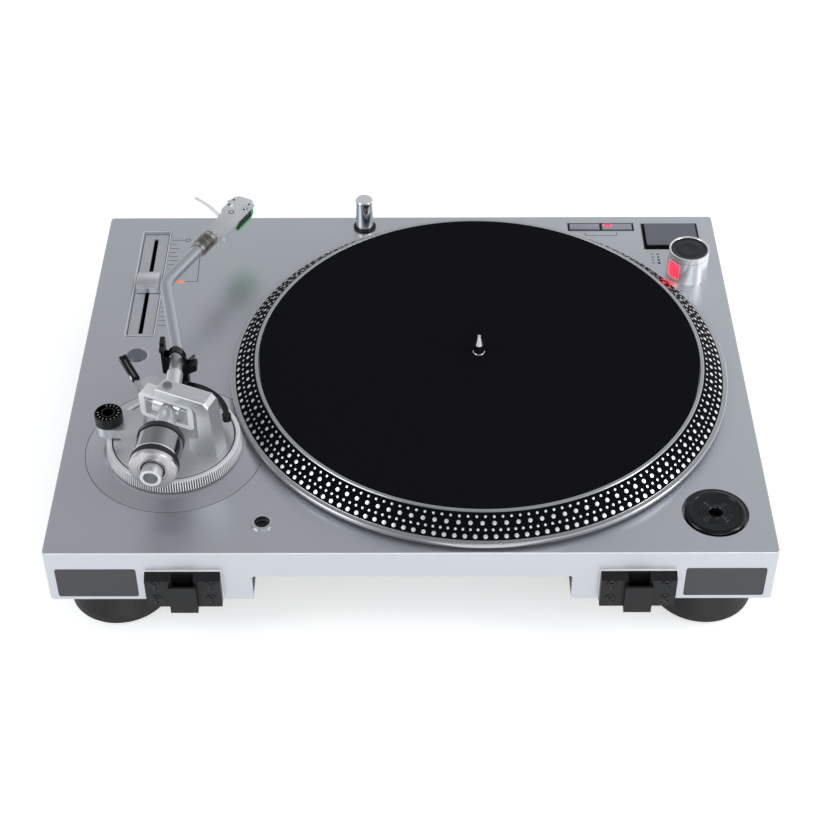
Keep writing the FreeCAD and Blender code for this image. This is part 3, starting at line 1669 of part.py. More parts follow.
def make_cue_lever():
    """The arm lift's lever: a pin in the boss, a hub beside it, a thin stem and a thick handle."""
    body = new_body("cue_lever")
    side = d.cue_radius + d.pivot_gap
    hub_end = side + d.cue_hub_width
    pin = sketch_on(body, "XZ_Plane", offset=-side)
    circle(pin, 0 * side, 0 * side, d.cue_pin)
    pad(body, pin, d.cue_radius - 1)
    hub = sketch_on(body, "XZ_Plane", offset=-side)
    circle(hub, 0 * side, 0 * side, d.cue_hub)
    pad(body, hub, d.cue_hub_width, backwards=True)
    rise = tangent(d.cue_tilt)
    stem = sketch_on(body, "XZ_Plane", offset=-side)
    start, middle = d.cue_hub / 2, d.cue_handle
    half = d.cue_stem / 2
    points = [
        (start, start * rise - half),
        (middle + half, (middle + half) * rise - half),
        (middle + half, (middle + half) * rise + half),
        (start, start * rise + half),
    ]
    outline(stem, points)
    pad(body, stem, d.cue_hub_width, backwards=True)
    handle = sketch_on(body, "XZ_Plane", offset=d.cue_width - hub_end)
    half = d.cue_thickness / 2
    tip = d.cue_reach
    points = [
        (middle, middle * rise - half),
        (tip, tip * rise - half),
        (tip - half / 2, tip * rise + half),
        (middle - half / 2, middle * rise + half),
    ]
    outline(handle, points)
    pad(body, handle, d.cue_width, backwards=True)
    return place(body, d.cue_x, d.cue_y, d.cue_axis, turn=d.cue_bearing)


def make_lifter_bar():
    """The curved rail that raises the arm, on a rod in the platform's guide."""
    body = new_body("lifter_bar")
    inner = d.lifter_radius - d.lifter_width / 2
    outer = d.lifter_radius + d.lifter_width / 2
    low = d.lifter_top - d.lifter_thickness
    points = [(inner, low), (outer, low), (outer, d.lifter_top), (inner, d.lifter_top)]
    turned(body, points, angle=d.lifter_sweep)
    block = sketch_on(body, offset=low - d.lifter_thickness / 2)
    end_x, end_y = polar(d.lifter_radius, -d.lifter_sweep / 2)
    circle(block, end_x, end_y, d.lifter_width * 0.8)
    pad(body, block, 1.5 * d.lifter_thickness)
    stem = sketch_on(body, offset=low)
    rod_x, rod_y = polar(d.lifter_radius, d.lifter_rod_bearing - d.lifter_middle)
    circle(stem, rod_x, rod_y, d.lifter_rod)
    pad(body, stem, low - d.platform_top - d.lug_gap, backwards=True)
    return at_pivot(body, turn=d.lifter_middle)


def make_anti_skate_knob():
    body = new_body("anti_skate_knob")
    low = d.lug_top + d.skate_gap
    high = low + d.skate_height
    edge = d.key_edge
    points = [
        (0, d.lug_top - d.knob_shaft_depth),
        (d.knob_shaft, d.lug_top - d.knob_shaft_depth),
        (d.knob_shaft, low),
        (d.skate_radius, low),
        (d.skate_radius, high - edge),
        (d.skate_radius - edge, high),
        (0, high),
    ]
    turned(body, points)
    return place(body, d.lug_x, d.lug_y)


# The arm


def make_gimbal_ring():
    """The upright frame between the two pivot screws, with holes for the arm's own pivots."""
    body = new_body("gimbal_ring")
    wide, tall = d.gimbal_half_width, d.gimbal_half_height
    face = sketch_on(body, "XZ_Plane")
    rectangle(face, -wide, -tall, wide, tall)
    pad(body, face, 2 * d.gimbal_half_depth, middle=True)
    eased(body, "Fillet", d.gimbal_corner, lambda edge: along(edge, "y"))
    window = sketch_on(body, "XZ_Plane")
    rectangle(window, d.gimbal_side - wide, d.gimbal_bar - tall, wide - d.gimbal_side, tall - d.gimbal_bar)
    pocket(body, window, 3 * d.gimbal_half_depth, middle=True)
    sides = sketch_on(body, "YZ_Plane")
    circle(sides, 0 * wide, 0 * wide, d.trunnion_radius + d.trunnion_clearance)
    pocket(body, sides, 3 * wide, middle=True)
    ends = sketch_on(body)
    circle(ends, 0 * wide, 0 * wide, d.pivot_shank + d.trunnion_clearance)
    pocket(body, ends, 3 * tall, middle=True)
    return at_pivot(body, d.arm_height, turn=-d.gimbal_angle)


def make_arm_hub():
    """The arm's middle: a cross barrel on two pins, the sleeve in front and the tail behind."""
    body = new_body("arm_hub")
    cross = -d.gimbal_angle
    half, pin = d.barrel_half, d.gimbal_half_width - d.gimbal_side / 4
    zero = 0 * half
    barrel = [(-half, zero), (half, zero), (half, d.barrel_radius), (-half, d.barrel_radius)]
    turned(body, barrel, "XY_Plane", "H_Axis", turn=cross)
    pins = [(-pin, zero), (pin, zero), (pin, d.trunnion_radius), (-pin, d.trunnion_radius)]
    turned(body, pins, "XY_Plane", "H_Axis", turn=cross)
    bore_start = d.tail_end - d.tail_bore_depth
    neck = d.tail_neck
    tail = [
        (zero, zero),
        (bore_start, zero),
        (bore_start, d.tail_bore),
        (d.tail_end, d.tail_bore),
        (d.tail_end, d.tail_radius),
        (neck, d.tail_radius),
        (neck, d.tail_neck_radius),
        (zero, d.tail_neck_radius),
    ]
    turned(body, tail, "XY_Plane", "H_Axis", turn=90 - d.tail_angle)
    bore = d.tube_radius + d.tube_fit
    sleeve = [
        (zero, zero),
        (d.tube_seat, zero),
        (d.tube_seat, bore),
        (d.sleeve_end, bore),
        (d.sleeve_end, d.sleeve_radius),
        (zero, d.sleeve_radius),
    ]
    turned(body, sleeve, "XY_Plane", "H_Axis", turn=-90 + zero)
    return at_pivot(body, d.arm_height)


def tube_corners():
    """The two corners of the arm tube, from the pivot: straight forward, then outward."""
    first = (0 * d.tube_first, -d.tube_first)
    second = (d.tube_second * sine(d.first_bend), -d.tube_first - d.tube_second * cosine(d.first_bend))
    return first, second


def head_direction():
    return 270 - d.offset_angle


def step(point, angle, length):
    return point[0] + length * cosine(angle), point[1] + length * sine(angle)


def bend(sketch, corner, angle_in, angle_out, radius, line_in, line_out):
    """Join two runs of a path with an arc that touches both."""
    half = (value_of(angle_out) - value_of(angle_in)) / 2
    start = Vector(*[value_of(part) for part in corner[0]], 0)
    end = Vector(*[value_of(part) for part in corner[1]], 0)
    heading = math.radians(value_of(angle_in) + half)
    sagitta = value_of(radius) * (1 - math.cos(math.radians(half))) * math.copysign(1, half)
    middle = (start + end) / 2 + Vector(math.sin(heading), -math.cos(heading), 0) * sagitta
    points = (start, middle, end) if half > 0 else (end, middle, start)
    arc = sketch.addGeometry(Part.Arc(*points))
    near, far = (1, 2) if half > 0 else (2, 1)
    sketch.addConstraint(Sketcher.Constraint("Coincident", line_in, 2, arc, near))
    sketch.addConstraint(Sketcher.Constraint("Coincident", line_out, 1, arc, far))
    number = sketch.addConstraint(Sketcher.Constraint("Radius", arc, value_of(radius)))
    bind(sketch, f"Constraints[{number}]", radius)


def make_arm_tube():
    """The twice-bent tube, hollow all the way."""
    body = new_body("arm_tube")
    first, second = tube_corners()
    angles = [-90 + 0 * d.first_bend, d.first_bend - 90, head_direction() - 360]
    reaches = []
    for corner, index, radius in ((first, 0, d.first_round), (second, 1, d.second_round)):
        turn = angles[index + 1] - angles[index]
        if value_of(turn) < 0:
            turn = -turn
        cut = radius * tangent(turn / 2)
        reaches.append((step(corner, angles[index], -cut), step(corner, angles[index + 1], cut)))
    start = (0 * d.tube_seat, -d.tube_seat)
    end = step(second, angles[2], d.tube_third + d.tube_grip)
    spine = sketch_on(body)
    lines = []
    for a, b in ((start, reaches[0][0]), (reaches[0][1], reaches[1][0]), (reaches[1][1], end)):
        spots = [Vector(*[value_of(part) for part in point], 0) for point in (a, b)]
        lines.append(spine.addGeometry(Part.LineSegment(*spots)))
        hold(spine, lines[-1], 1, *a)
        hold(spine, lines[-1], 2, *b)
    bend(spine, reaches[0], angles[0], angles[1], d.first_round, lines[0], lines[1])
    bend(spine, reaches[1], angles[1], angles[2], d.second_round, lines[1], lines[2])
    section = sketch_on(body, "XZ_Plane", offset=d.tube_seat)
    zero = 0 * d.tube_radius
    circle(section, zero, zero, d.tube_radius)
    circle(section, zero, zero, d.tube_radius - d.tube_wall)
    pipe = body.newObject("PartDesign::AdditivePipe", "arm_tube_pipe")
    pipe.Profile = section
    pipe.Spine = (spine, [""])
    DOC.recompute()
    return at_pivot(body, d.arm_height)


def on_head_line(body):
    """Place a piece of the head with its own x running forward from the tube's second corner."""
    _, corner = tube_corners()
    return place(body, d.pivot_x + corner[0], d.pivot_y + corner[1], d.arm_height, turn=head_direction())


def make_collar_nut():
    body = new_body("collar_nut")
    start, end = d.tube_third, d.tube_third + d.collar_nut_length
    bore = d.tube_radius + d.nut_clearance
    step_at = start + d.collar_nut_step
    points = [
        (start, bore),
        (end, bore),
        (end, d.collar_nut_radius),
        (step_at, d.collar_nut_radius),
        (step_at - d.key_edge, d.collar_nut_radius - d.key_edge),
        (start, d.collar_nut_radius - d.key_edge),
    ]
    turned(body, points, "XY_Plane", "H_Axis")
    return on_head_line(body)


def shell_start():
    return d.tube_third + d.collar_nut_length + d.shell_gap


def make_headshell():
    """The head's flat plate: narrow by the nut, wide over the cartridge, with a side flange."""
    body = new_body("headshell")
    start = shell_start()
    end = start + d.shell_length
    wide, waist = d.shell_half_width, d.shell_waist
    low = d.shell_low
    plan = sketch_on(body, offset=low)
    shoulder = start + d.shell_shoulder
    cut = d.shell_corner
    points = [
        (start, -waist),
        (start + cut, -wide),
        (end - cut, -wide),
        (end, -waist),
        (end, waist),
        (end - cut, wide),
        (shoulder + cut, wide),
        (shoulder, waist + d.shell_flare),
        (start, waist),
    ]
    outline(plan, points)
    pad(body, plan, d.shell_thickness)
    root = sketch_on(body, offset=low - d.shell_root)
    rectangle(root, start, -waist + d.shell_wall / 2, start + d.shell_root, waist - d.shell_wall / 2)
    pad(body, root, d.shell_root)
    flange = sketch_on(body, offset=low - d.shell_skirt)
    flange_end = start + d.shell_shoulder
    rectangle(flange, start + cut, -wide, flange_end, -wide + d.shell_wall)
    pad(body, flange, d.shell_skirt)
    neck_start = d.tube_third + d.tube_grip + d.shell_gap
    neck = [(neck_start, 0 * cut), (start + d.shell_root / 2, 0 * cut)]
    neck += [(start + d.shell_root / 2, d.tube_radius), (neck_start, d.tube_radius)]
    turned(body, neck, "XY_Plane", "H_Axis")
    holes = sketch_on(body, offset=low + d.shell_thickness)
    for side in (-1, 1):
        x = start + d.shell_screw_at
        circle(holes, x, side * d.shell_screw_spread / 2, d.shell_screw + d.tray_gap / 3)
    pocket(body, holes, d.shell_thickness)
    return on_head_line(body)


def make_headshell_screws():
    """Two slotted screws that hold the cartridge."""
    radius, head = value_of(d.shell_screw), value_of(d.shell_screw_head)
    top = value_of(d.shell_low + d.shell_thickness)
    thick = value_of(d.shell_screw_top)
    length = value_of(d.shell_thickness + d.shell_screw_grip)
    screw = Part.makeCylinder(head, thick).fuse(Part.makeCylinder(radius, length, Vector(0, 0, -length)))
    slot = Part.makeBox(2 * head, thick / 2, thick / 2, Vector(-head, -thick / 4, thick / 2))
    screw = screw.cut(slot)
    x = value_of(shell_start() + d.shell_screw_at)
    spread = value_of(d.shell_screw_spread) / 2
    solids = [moved(screw, Vector(x, side * spread, top), Rotation()) for side in (-1, 1)]
    group = DOC.addObject("Part::Feature", "headshell_screws")
    group.Shape = Part.makeCompound(solids)
    return on_head_line(group)


def make_finger_lift():
    """The thin tongue beside the head that a finger raises."""
    body = new_body("finger_lift")
    strip = sketch_on(body, "YZ_Plane", offset=shell_start() + d.lift_at)
    thick = d.lift_thickness
    root = d.shell_waist - d.shell_wall
    reach = d.shell_half_width + d.lift_reach
    low = d.shell_low - thick
    elbow = d.shell_half_width
    mid_y, mid_z = elbow + d.lift_reach * 0.55, low + d.lift_rise * 0.38
    points = [
        (root, low),
        (elbow, low),
        (mid_y, mid_z),
        (reach, low + d.lift_rise),
        (reach - thick / 2, low + d.lift_rise + thick),
        (mid_y - thick / 3, mid_z + thick),
        (elbow - thick / 4, d.shell_low),
        (root, d.shell_low),
    ]
    outline(strip, points)
    pad(body, strip, d.lift_width, middle=True)
    return on_head_line(body)


def make_cartridge():
    body = new_body("cartridge")
    start = shell_start()
    back, front = start + d.cartridge_back, start + d.cartridge_front
    top = d.shell_low
    low = top - d.cartridge_height
    side = sketch_on(body, "XZ_Plane")
    points = [(back, top), (back, low + d.shell_wall), (back + d.shell_wall, low), (front, low), (front, top)]
    outline(side, points)
    pad(body, side, 2 * d.cartridge_half, middle=True)
    holes = sketch_on(body, offset=top)
    for end in (-1, 1):
        x = start + d.shell_screw_at
        circle(holes, x, end * d.shell_screw_spread / 2, d.shell_screw + d.tray_gap / 3)
    pocket(body, holes, d.shell_screw_grip + d.tray_gap)
    return on_head_line(body)


def make_stylus():
    """The slide-on holder in front of and below the cartridge, with its fine lever and tip."""
    body = new_body("stylus")
    start = shell_start()
    back = start + d.cartridge_back + 2 * d.shell_wall
    front = start + d.cartridge_front
    top = d.shell_low - d.shell_wall / 2
    low = d.shell_low - d.cartridge_height
    nose = front + d.stylus_nose
    drop = low - d.stylus_depth / 2
    side = sketch_on(body, "XZ_Plane")
    points = [
        (back, low),
        (front, low),
        (front, top),
        (nose - d.shell_wall, top),
        (nose, top - d.shell_wall),
        (nose, low),
        (front, drop),
        (back, drop),
    ]
    outline(side, points)
    pad(body, side, 2 * d.cartridge_half - d.shell_wall, middle=True)
    lever = sketch_on(body, "XZ_Plane")
    tip = low - d.stylus_depth
    fine = d.stylus_lever
    points = [(front - 3 * fine, drop), (front + fine, tip), (front + 2 * fine, tip), (front, drop)]
    outline(lever, points)
    pad(body, lever, fine, middle=True)
    return on_head_line(body)


def on_tail(body):
    """Place a piece of the tail with its own x running back from the pivot."""
    return at_pivot(body, d.arm_height, turn=90 - d.tail_angle)


def tail_bush_radii():
    inner = d.tail_radius + d.bush_clearance
    return inner, inner + d.bush_wall


def make_counterweight_bush():
    body = new_body("counterweight_bush")
    inner, outer = tail_bush_radii()
    start = d.weight_front - d.force_dial_length
    end = d.weight_back
    turned(body, [(start, inner), (end, inner), (end, outer), (start, outer)], "XY_Plane", "H_Axis")
    return on_tail(body)


def make_counterweight():
    body = new_body("counterweight")
    bore = tail_bush_radii()[1] + d.weight_clearance
    grip = d.weight_back - d.grip_length
    face = d.weight_back
    edge = d.key_edge
    points = [
        (d.weight_front, bore),
        (face, bore),
        (face, d.weight_radius),
        (face - edge / 2, d.grip_radius),
        (grip, d.grip_radius),
        (grip, d.weight_radius),
        (d.weight_front, d.weight_radius),
    ]
    turned(body, points, "XY_Plane", "H_Axis")
    return on_tail(body)


def make_force_dial():
    body = new_body("force_dial")
    bore = tail_bush_radii()[1] + d.weight_clearance
    start, end = d.weight_front - d.force_dial_length, d.weight_front - d.dial_fit
    radius = d.force_dial_radius
    edge = d.key_edge / 2
    points = [(start, bore), (end, bore), (end, radius), (start + edge, radius), (start, radius - edge)]
    turned(body, points, "XY_Plane", "H_Axis")
    return on_tail(body)


# The whole


def make_pieces():
    """Every piece of the turntable, one named node each."""
    pieces = [
        make_top_cover(),
        make_base_tray(),
        make_case_screws(),
        make_hinge_bracket("hinge_bracket_left", -1),
        make_hinge_bracket("hinge_bracket_right", 1),
        make_rca_jacks(),
        make_power_inlet(),
        make_ground_post(),
        make_usb_socket(),
        make_line_switch(),
        make_motor_frame(),
        make_bearing_sleeve(),
        make_stator(),
        make_main_board(),
        make_spindle(),
        make_platter(),
        make_slip_mat(),
        make_rotor_magnet(),
        make_control_bezels(),
        make_key("start_button", d.start_x, d.start_y, d.start_width, d.start_depth, d.start_proud),
        make_key("button_33", speed_place(1), d.speed_y, d.speed_width, d.speed_depth, d.speed_proud),
        make_key("button_45", speed_place(-1), d.speed_y, d.speed_width, d.speed_depth, d.speed_proud),
        make_button("range_button", d.range_x, d.range_y, d.range_radius),
        make_button("quartz_button", d.quartz_x, d.quartz_y, d.quartz_radius),
        make_tempo_slider(),
        make_tempo_potentiometer(),
        make_tempo_lamp(),
        make_strobe_tower(),
        make_strobe_lens(),
        make_power_dial(),
        make_light_collar(),
        make_target_light(),
        make_adapter(),
        make_headshell_socket(),
        make_arm_base_plate(),
        make_height_ring(),
        make_arm_platform(),
        make_arm_yoke(),
        make_pivot_screws(),
        make_arm_rest(),
        make_rest_clip(),
        make_cue_lever(),
        make_lifter_bar(),
        make_anti_skate_knob(),
        make_gimbal_ring(),
        make_arm_hub(),
        make_arm_tube(),
        make_collar_nut(),
        make_headshell(),
        make_headshell_screws(),
        make_finger_lift(),
        make_cartridge(),
        make_stylus(),
        make_counterweight_bush(),
        make_counterweight(),
        make_force_dial(),
    ]
    names = {(-1, -1): "foot_front_left", (1, -1): "foot_front_right"}
    names.update({(-1, 1): "foot_back_left", (1, 1): "foot_back_right"})
    for (side, end), name in names.items():
        pieces.append(make_foot(name, side * d.foot_x, end * d.foot_y))
    return pieces


def check_and_write(pieces):
    """Stop at any failed object, then write each piece's shape under its own name."""
    DOC.recompute()
    for item in DOC.Objects:
        if "Invalid" in item.State or "Error" in item.State:
            raise RuntimeError(f"{item.Label} failed: {item.State}")
    for piece in pieces:
        if piece.Shape.isNull() or not piece.Shape.isValid() or piece.Shape.Volume <= 0:
            raise RuntimeError(f"{piece.Label} has no sound shape")
    os.makedirs("parts", exist_ok=True)
    for piece in pieces:
        piece.Shape.exportStep(f"parts/{piece.Label}.step")


check_and_write(make_pieces())
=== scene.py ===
"""Looks for the record turntable: finishes, fine pieces, light and camera around the CAD frame."""

import logging
import math
from dataclasses import dataclass
from enum import Enum
from typing import Callable, Optional, Sequence

import bmesh
import bpy
import numpy as np
from mathutils import Matrix, Vector


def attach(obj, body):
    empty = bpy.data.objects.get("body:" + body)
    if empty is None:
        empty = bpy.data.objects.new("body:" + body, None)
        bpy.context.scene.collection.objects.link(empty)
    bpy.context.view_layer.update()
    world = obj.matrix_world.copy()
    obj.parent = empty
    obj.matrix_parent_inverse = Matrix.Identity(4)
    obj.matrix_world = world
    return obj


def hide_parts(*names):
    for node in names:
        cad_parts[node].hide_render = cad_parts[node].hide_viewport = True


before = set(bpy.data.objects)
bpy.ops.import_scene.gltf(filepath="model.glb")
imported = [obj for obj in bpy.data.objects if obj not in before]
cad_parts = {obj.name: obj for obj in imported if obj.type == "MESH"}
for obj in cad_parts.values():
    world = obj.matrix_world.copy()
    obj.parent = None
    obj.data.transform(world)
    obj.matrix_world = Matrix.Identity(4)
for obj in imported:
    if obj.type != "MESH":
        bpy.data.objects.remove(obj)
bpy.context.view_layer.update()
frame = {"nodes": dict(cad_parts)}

logging.basicConfig(level=logging.INFO, format="%(message)s")
LOG = logging.getLogger("turntable")

MM = 0.001
DECK_HEIGHT = 72.0
DECK_SHIFT = -4.5
SECOND_TONE = 0.86
# Painted shade: the near black that deep grooves are darkened towards.
GROOVE_PAINTED_SHADE = (0.004, 0.004, 0.005, 1.0)
MIX_SHARE, MIX_FIRST, MIX_SECOND, MIX_COLOUR = 0, 6, 7, 2
MERGE_WITHIN = 1e-6
SHORTEST_EDGE = 1e-7
RIB_STEPS = 6
Array = np.ndarray
Colour = tuple[float, float, float]


class Slot(str, Enum):
    """The record's material slots that the scene's own pieces take their finish from."""

    BLACK = "black_plastic"
    GLOSS = "gloss_black"
    CHROME = "chrome"
    ALUMINIUM = "aluminium"
    PLATTER = "platter_metal"
    KEY = "grey_key"
    LAMP = "red_lamp"
    DARK_CHROME = "dark_chrome"


def deck_to_row(points: Array) -> Array:
    """Carry points from the deck's frame in millimetres to the row frame in metres.

    Args:
        points: Rows of x, y, z, with z = 0 on the deck's top.

    Returns:
        The same rows, shifted by the deck's height and the hinges' half depth, in metres.
    """
    return (np.asarray(points, float) + (0.0, DECK_SHIFT, DECK_HEIGHT)) * MM


def at_height(outline: Array, height: float) -> Array:
    """Return a flat outline's points, all at one height.

    Args:
        outline: Rows of x, y.
        height: The z that every point gets.

    Returns:
        Rows of x, y, z.
    """
    return np.column_stack((outline, np.full(len(outline), height)))


@dataclass(frozen=True)
class Seat:
    """Where a shape worked out round its own axis sits on the deck.

    Its own z runs along axis, and its own x along across.
    """

    origin: tuple[float, float, float]
    axis: tuple[float, float, float] = (0.0, 0.0, 1.0)
    across: tuple[float, float, float] = (1.0, 0.0, 0.0)

    def carry(self, points: Array) -> Array:
        """Return the points, worked out at this seat, in the deck's frame.

        Args:
            points: Rows of x, y, z at the seat.

        Returns:
            The same rows in the deck's frame.
        """
        z = np.asarray(self.axis, float)
        z = z / np.linalg.norm(z)
        x = np.asarray(self.across, float)
        x = x - z * (x @ z)
        x = x / np.linalg.norm(x)
        turn = np.stack((x, np.cross(z, x), z))
        return np.asarray(points, float) @ turn + np.asarray(self.origin, float)


class Shape:
    """Vertices and faces gathered from parametric surfaces, and put into one mesh."""

    def __init__(self) -> None:
        """Start with nothing."""
        self.points: list[Array] = []
        self.hollows: list[Array] = []
        self.faces: list[Array] = []
        self.caps: list[list[int]] = []
        self.count = 0

    def add(self, points: Array, faces: Array, hollow: Optional[Array] = None) -> int:
        """Add vertices and the faces between them.

        Args:
            points: Rows of x, y, z.
            faces: Rows of vertex numbers, counted from this block's first.
            hollow: How deep in a groove each vertex lies, from 0 to 1.

        Returns:
            The number of the first vertex.
        """
        start = self.count
        self.points.append(np.asarray(points, float).reshape(-1, 3))
        depth = np.zeros(len(self.points[-1])) if hollow is None else np.asarray(hollow, float).ravel()
        self.hollows.append(depth)
        self.faces.append(np.asarray(faces, int) + start)
        self.count += len(self.points[-1])
        return start

    def grid(
        self, points: Array, wrap_rows: bool = False, wrap_columns: bool = False,
        hollow: Optional[Array] = None,
    ) -> int:
        """Add a surface given on a grid of two parameters.

        Args:
            points: An array of rows by columns by three.
            wrap_rows: Join the last row to the first.
            wrap_columns: Join the last column to the first.
            hollow: How deep in a groove each point lies.

        Returns:
            The number of the grid's first vertex.
        """
        rows, columns = points.shape[:2]
        i = np.arange(rows if wrap_rows else rows - 1)
        j = np.arange(columns if wrap_columns else columns - 1)
        a, b = np.meshgrid(i, j, indexing="ij")
        c, e = (a + 1) % rows, (b + 1) % columns
        quads = np.stack((a * columns + b, c * columns + b, c * columns + e, a * columns + e), -1)
        return self.add(points.reshape(-1, 3), quads.reshape(-1, 4), hollow)

    def cap(self, start: int, count: int) -> None:
        """Close a ring of vertices with one flat face."""
        self.caps.append(list(range(start, start + count)))

    def turned(
        self,
        profile: Sequence[tuple[float, float]],
        seat: Seat,
        steps: int = 96,
        ripple: Optional[Callable[[Array, Array], Array]] = None,
    ) -> None:
        """Turn a closed profile once round the seat's axis.

        The point at angle t is (r cos t, r sin t, z) for each profile point (r, z), with r
        changed by ripple(r, t) where that is given.

        Args:
            profile: Corner points of radius and height, in order round the section.
            seat: Where the axis stands.
            steps: How many places round the turn.
            ripple: Gives what to add to each radius.
        """
        r, z = np.asarray(profile, float).T
        t = np.linspace(0, 2 * math.pi, steps, endpoint=False)
        radius = np.broadcast_to(r, (steps, len(r))).copy()
        cut = np.zeros_like(radius) if ripple is None else ripple(radius, t[:, None])
        radius += cut
        hollow = cut / min(float(cut.min()), -1e-9)
        points = np.stack(
            (radius * np.cos(t)[:, None], radius * np.sin(t)[:, None], np.broadcast_to(z, radius.shape)), -1
        )
        carried = seat.carry(points.reshape(-1, 3)).reshape(points.shape)
        self.grid(carried, wrap_rows=True, wrap_columns=True, hollow=hollow)

    def prism(self, plan: Array, layers: Sequence[tuple[float, float]], seat: Seat) -> None:
        """Stack copies of a plan, each drawn in by its own inset, and close both ends.

        Every plan point moves towards the middle along its own corner's direction.

        Args:
            plan: Rows of x, y round a convex outline.
            layers: Pairs of inset and height, from the bottom up.
            seat: Where the plan's middle stands.
        """
        before, after = np.roll(plan, 1, 0), np.roll(plan, -1, 0)
        run = after - before
        inward = np.stack((-run[:, 1], run[:, 0]), -1)
        inward /= np.linalg.norm(inward, axis=1)[:, None]
        points = np.stack([at_height(plan + inward * inset, z) for inset, z in layers])
        start = self.grid(seat.carry(points.reshape(-1, 3)).reshape(points.shape), wrap_columns=True)
        self.cap(start, len(plan))
        self.cap(start + (len(layers) - 1) * len(plan), len(plan))

    def stacked(self, rings: Array, seat: Seat) -> None:
        """Join rings of equally many points one above another, and close both ends.

        Args:
            rings: An array of levels by points by three.
            seat: Where the rings stand.
        """
        count = rings.shape[1]
        start = self.grid(seat.carry(rings.reshape(-1, 3)).reshape(rings.shape), wrap_columns=True)
        self.cap(start, count)
        self.cap(start + (len(rings) - 1) * count, count)

    def slab(self, outline: Array, low: float, high: float, seat: Seat) -> None:
        """Carry a flat outline straight along the seat's axis from low to high.

        Args:
            outline: Rows of x, y round the outline.
            low: Where the slab starts.
            high: Where it ends.
            seat: Where the outline stands.
        """
        self.stacked(np.stack([at_height(outline, z) for z in (low, high)]), seat)

    def swept(self, path: Array, section: Array, sides: Array, widths: Optional[Array] = None) -> None:
        """Carry a closed section along a path.

        Each point is path(s) + u side(s) + v up(s), where up is square to the side and the path.

        Args:
            path: Rows of points in the deck's frame.
            section: Rows of u, v round the section.
            sides: The direction of u at each path point.
            widths: A factor on the section at each path point.
        """
        along = np.gradient(path, axis=0)
        along /= np.linalg.norm(along, axis=1)[:, None]
        side = sides - along * np.sum(sides * along, axis=1)[:, None]
        side /= np.linalg.norm(side, axis=1)[:, None]
        up = np.cross(side, along)
        scale = np.ones(len(path)) if widths is None else widths
        u = section[None, :, 0:1] * scale[:, None, None]
        v = section[None, :, 1:2] * scale[:, None, None]
        points = path[:, None, :] + u * side[:, None, :] + v * up[:, None, :]
        start = self.grid(points, wrap_columns=True)
        self.cap(start, len(section))
        self.cap(start + (len(path) - 1) * len(section), len(section))

    def mesh(self, name: str) -> bpy.types.Mesh:
        """Put everything into one mesh in the row frame, merged and with its faces outwards.

        Args:
            name: The mesh's name.

        Returns:
            The mesh.
        """
        made = bpy.data.meshes.new(name)
        faces = [face for block in self.faces for face in block.tolist()] + self.caps
        made.from_pydata(deck_to_row(np.concatenate(self.points)).tolist(), [], faces)
        # The finishes read this depth to paint shade into the grooves.
        depth = made.attributes.new("hollow", "FLOAT", "POINT")
        depth.data.foreach_set("value", np.concatenate(self.hollows).astype(np.float32))
        work = bmesh.new()
        work.from_mesh(made)
        bmesh.ops.remove_doubles(work, verts=work.verts, dist=MERGE_WITHIN)
        bmesh.ops.dissolve_degenerate(work, edges=work.edges, dist=SHORTEST_EDGE)
        bmesh.ops.recalc_face_normals(work, faces=work.faces)
        work.to_mesh(made)
        work.free()
        made.validate()
        return made


def rounded_plan(width: float, depth: float, corner: float, steps: int = 6) -> Array:
    """Return a rectangle's outline with quarter-circle corners, counter-clockwise.

    Each corner's points are its centre plus corner times (cos t, sin t) over a quarter turn.

    Args:
        width: Its size along x.
        depth: Its size along y.
        corner: The corners' radius.
        steps: Spans in each quarter turn.

    Returns:
        Rows of x, y.
    """
    t = np.linspace(0, math.pi / 2, steps + 1)
    arc = np.stack((np.cos(t), np.sin(t)), -1) * corner
    x, y = width / 2 - corner, depth / 2 - corner
    turns = ((1, 0, x, y), (0, 1, -x, y), (-1, 0, -x, -y), (0, -1, x, -y))
    return np.concatenate([arc @ np.array(((c, s), (-s, c))) + (cx, cy) for c, s, cx, cy in turns])


def ridges(count: int, depth: float, over: float) -> Callable[[Array, Array], Array]:
    """Return a ripple that cuts count rounded grooves into every radius larger than over.

    Args:
        count: How many grooves go round.
        depth: How deep each is.
        over: The radius from which they are cut.

    Returns:
        A function of radius and angle that gives what to add to the radius.
    """

    def cut(radius: Array, angle: Array) -> Array:
        """Give minus depth times a raised cosine of the angle."""
        wave = np.clip(0.5 - 0.95 * np.cos(count * angle), 0, 1)
        return np.where(radius > over, -depth * wave, 0.0)

    return cut


def finish_piece(
    shape: Shape, name: str, body: str, material: bpy.types.Material,
    replaced: Sequence[str] = (), smooth: float = 35.0,
) -> bpy.types.Object:
    """Turn a shape into a piece that rides on a body.

    Args:
        shape: What to put into the piece's mesh.
        name: The piece's name.
        body: The CAD body that it moves with.
        material: The material to show.
        replaced: CAD nodes that it stands for.
        smooth: Edges sharper than this many degrees stay sharp.

    Returns:
        The piece.
    """
    mesh = shape.mesh(name)
    mesh.shade_smooth()
    mesh.set_sharp_from_angle(angle=math.radians(smooth))
    mesh.materials.append(material)
    piece = bpy.data.objects.new(name, mesh)
    bpy.context.scene.collection.objects.link(piece)
    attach(piece, body)
    if replaced:
        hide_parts(*replaced)
    LOG.info("piece %s: %d faces on %s", name, len(mesh.polygons), body)
    return piece


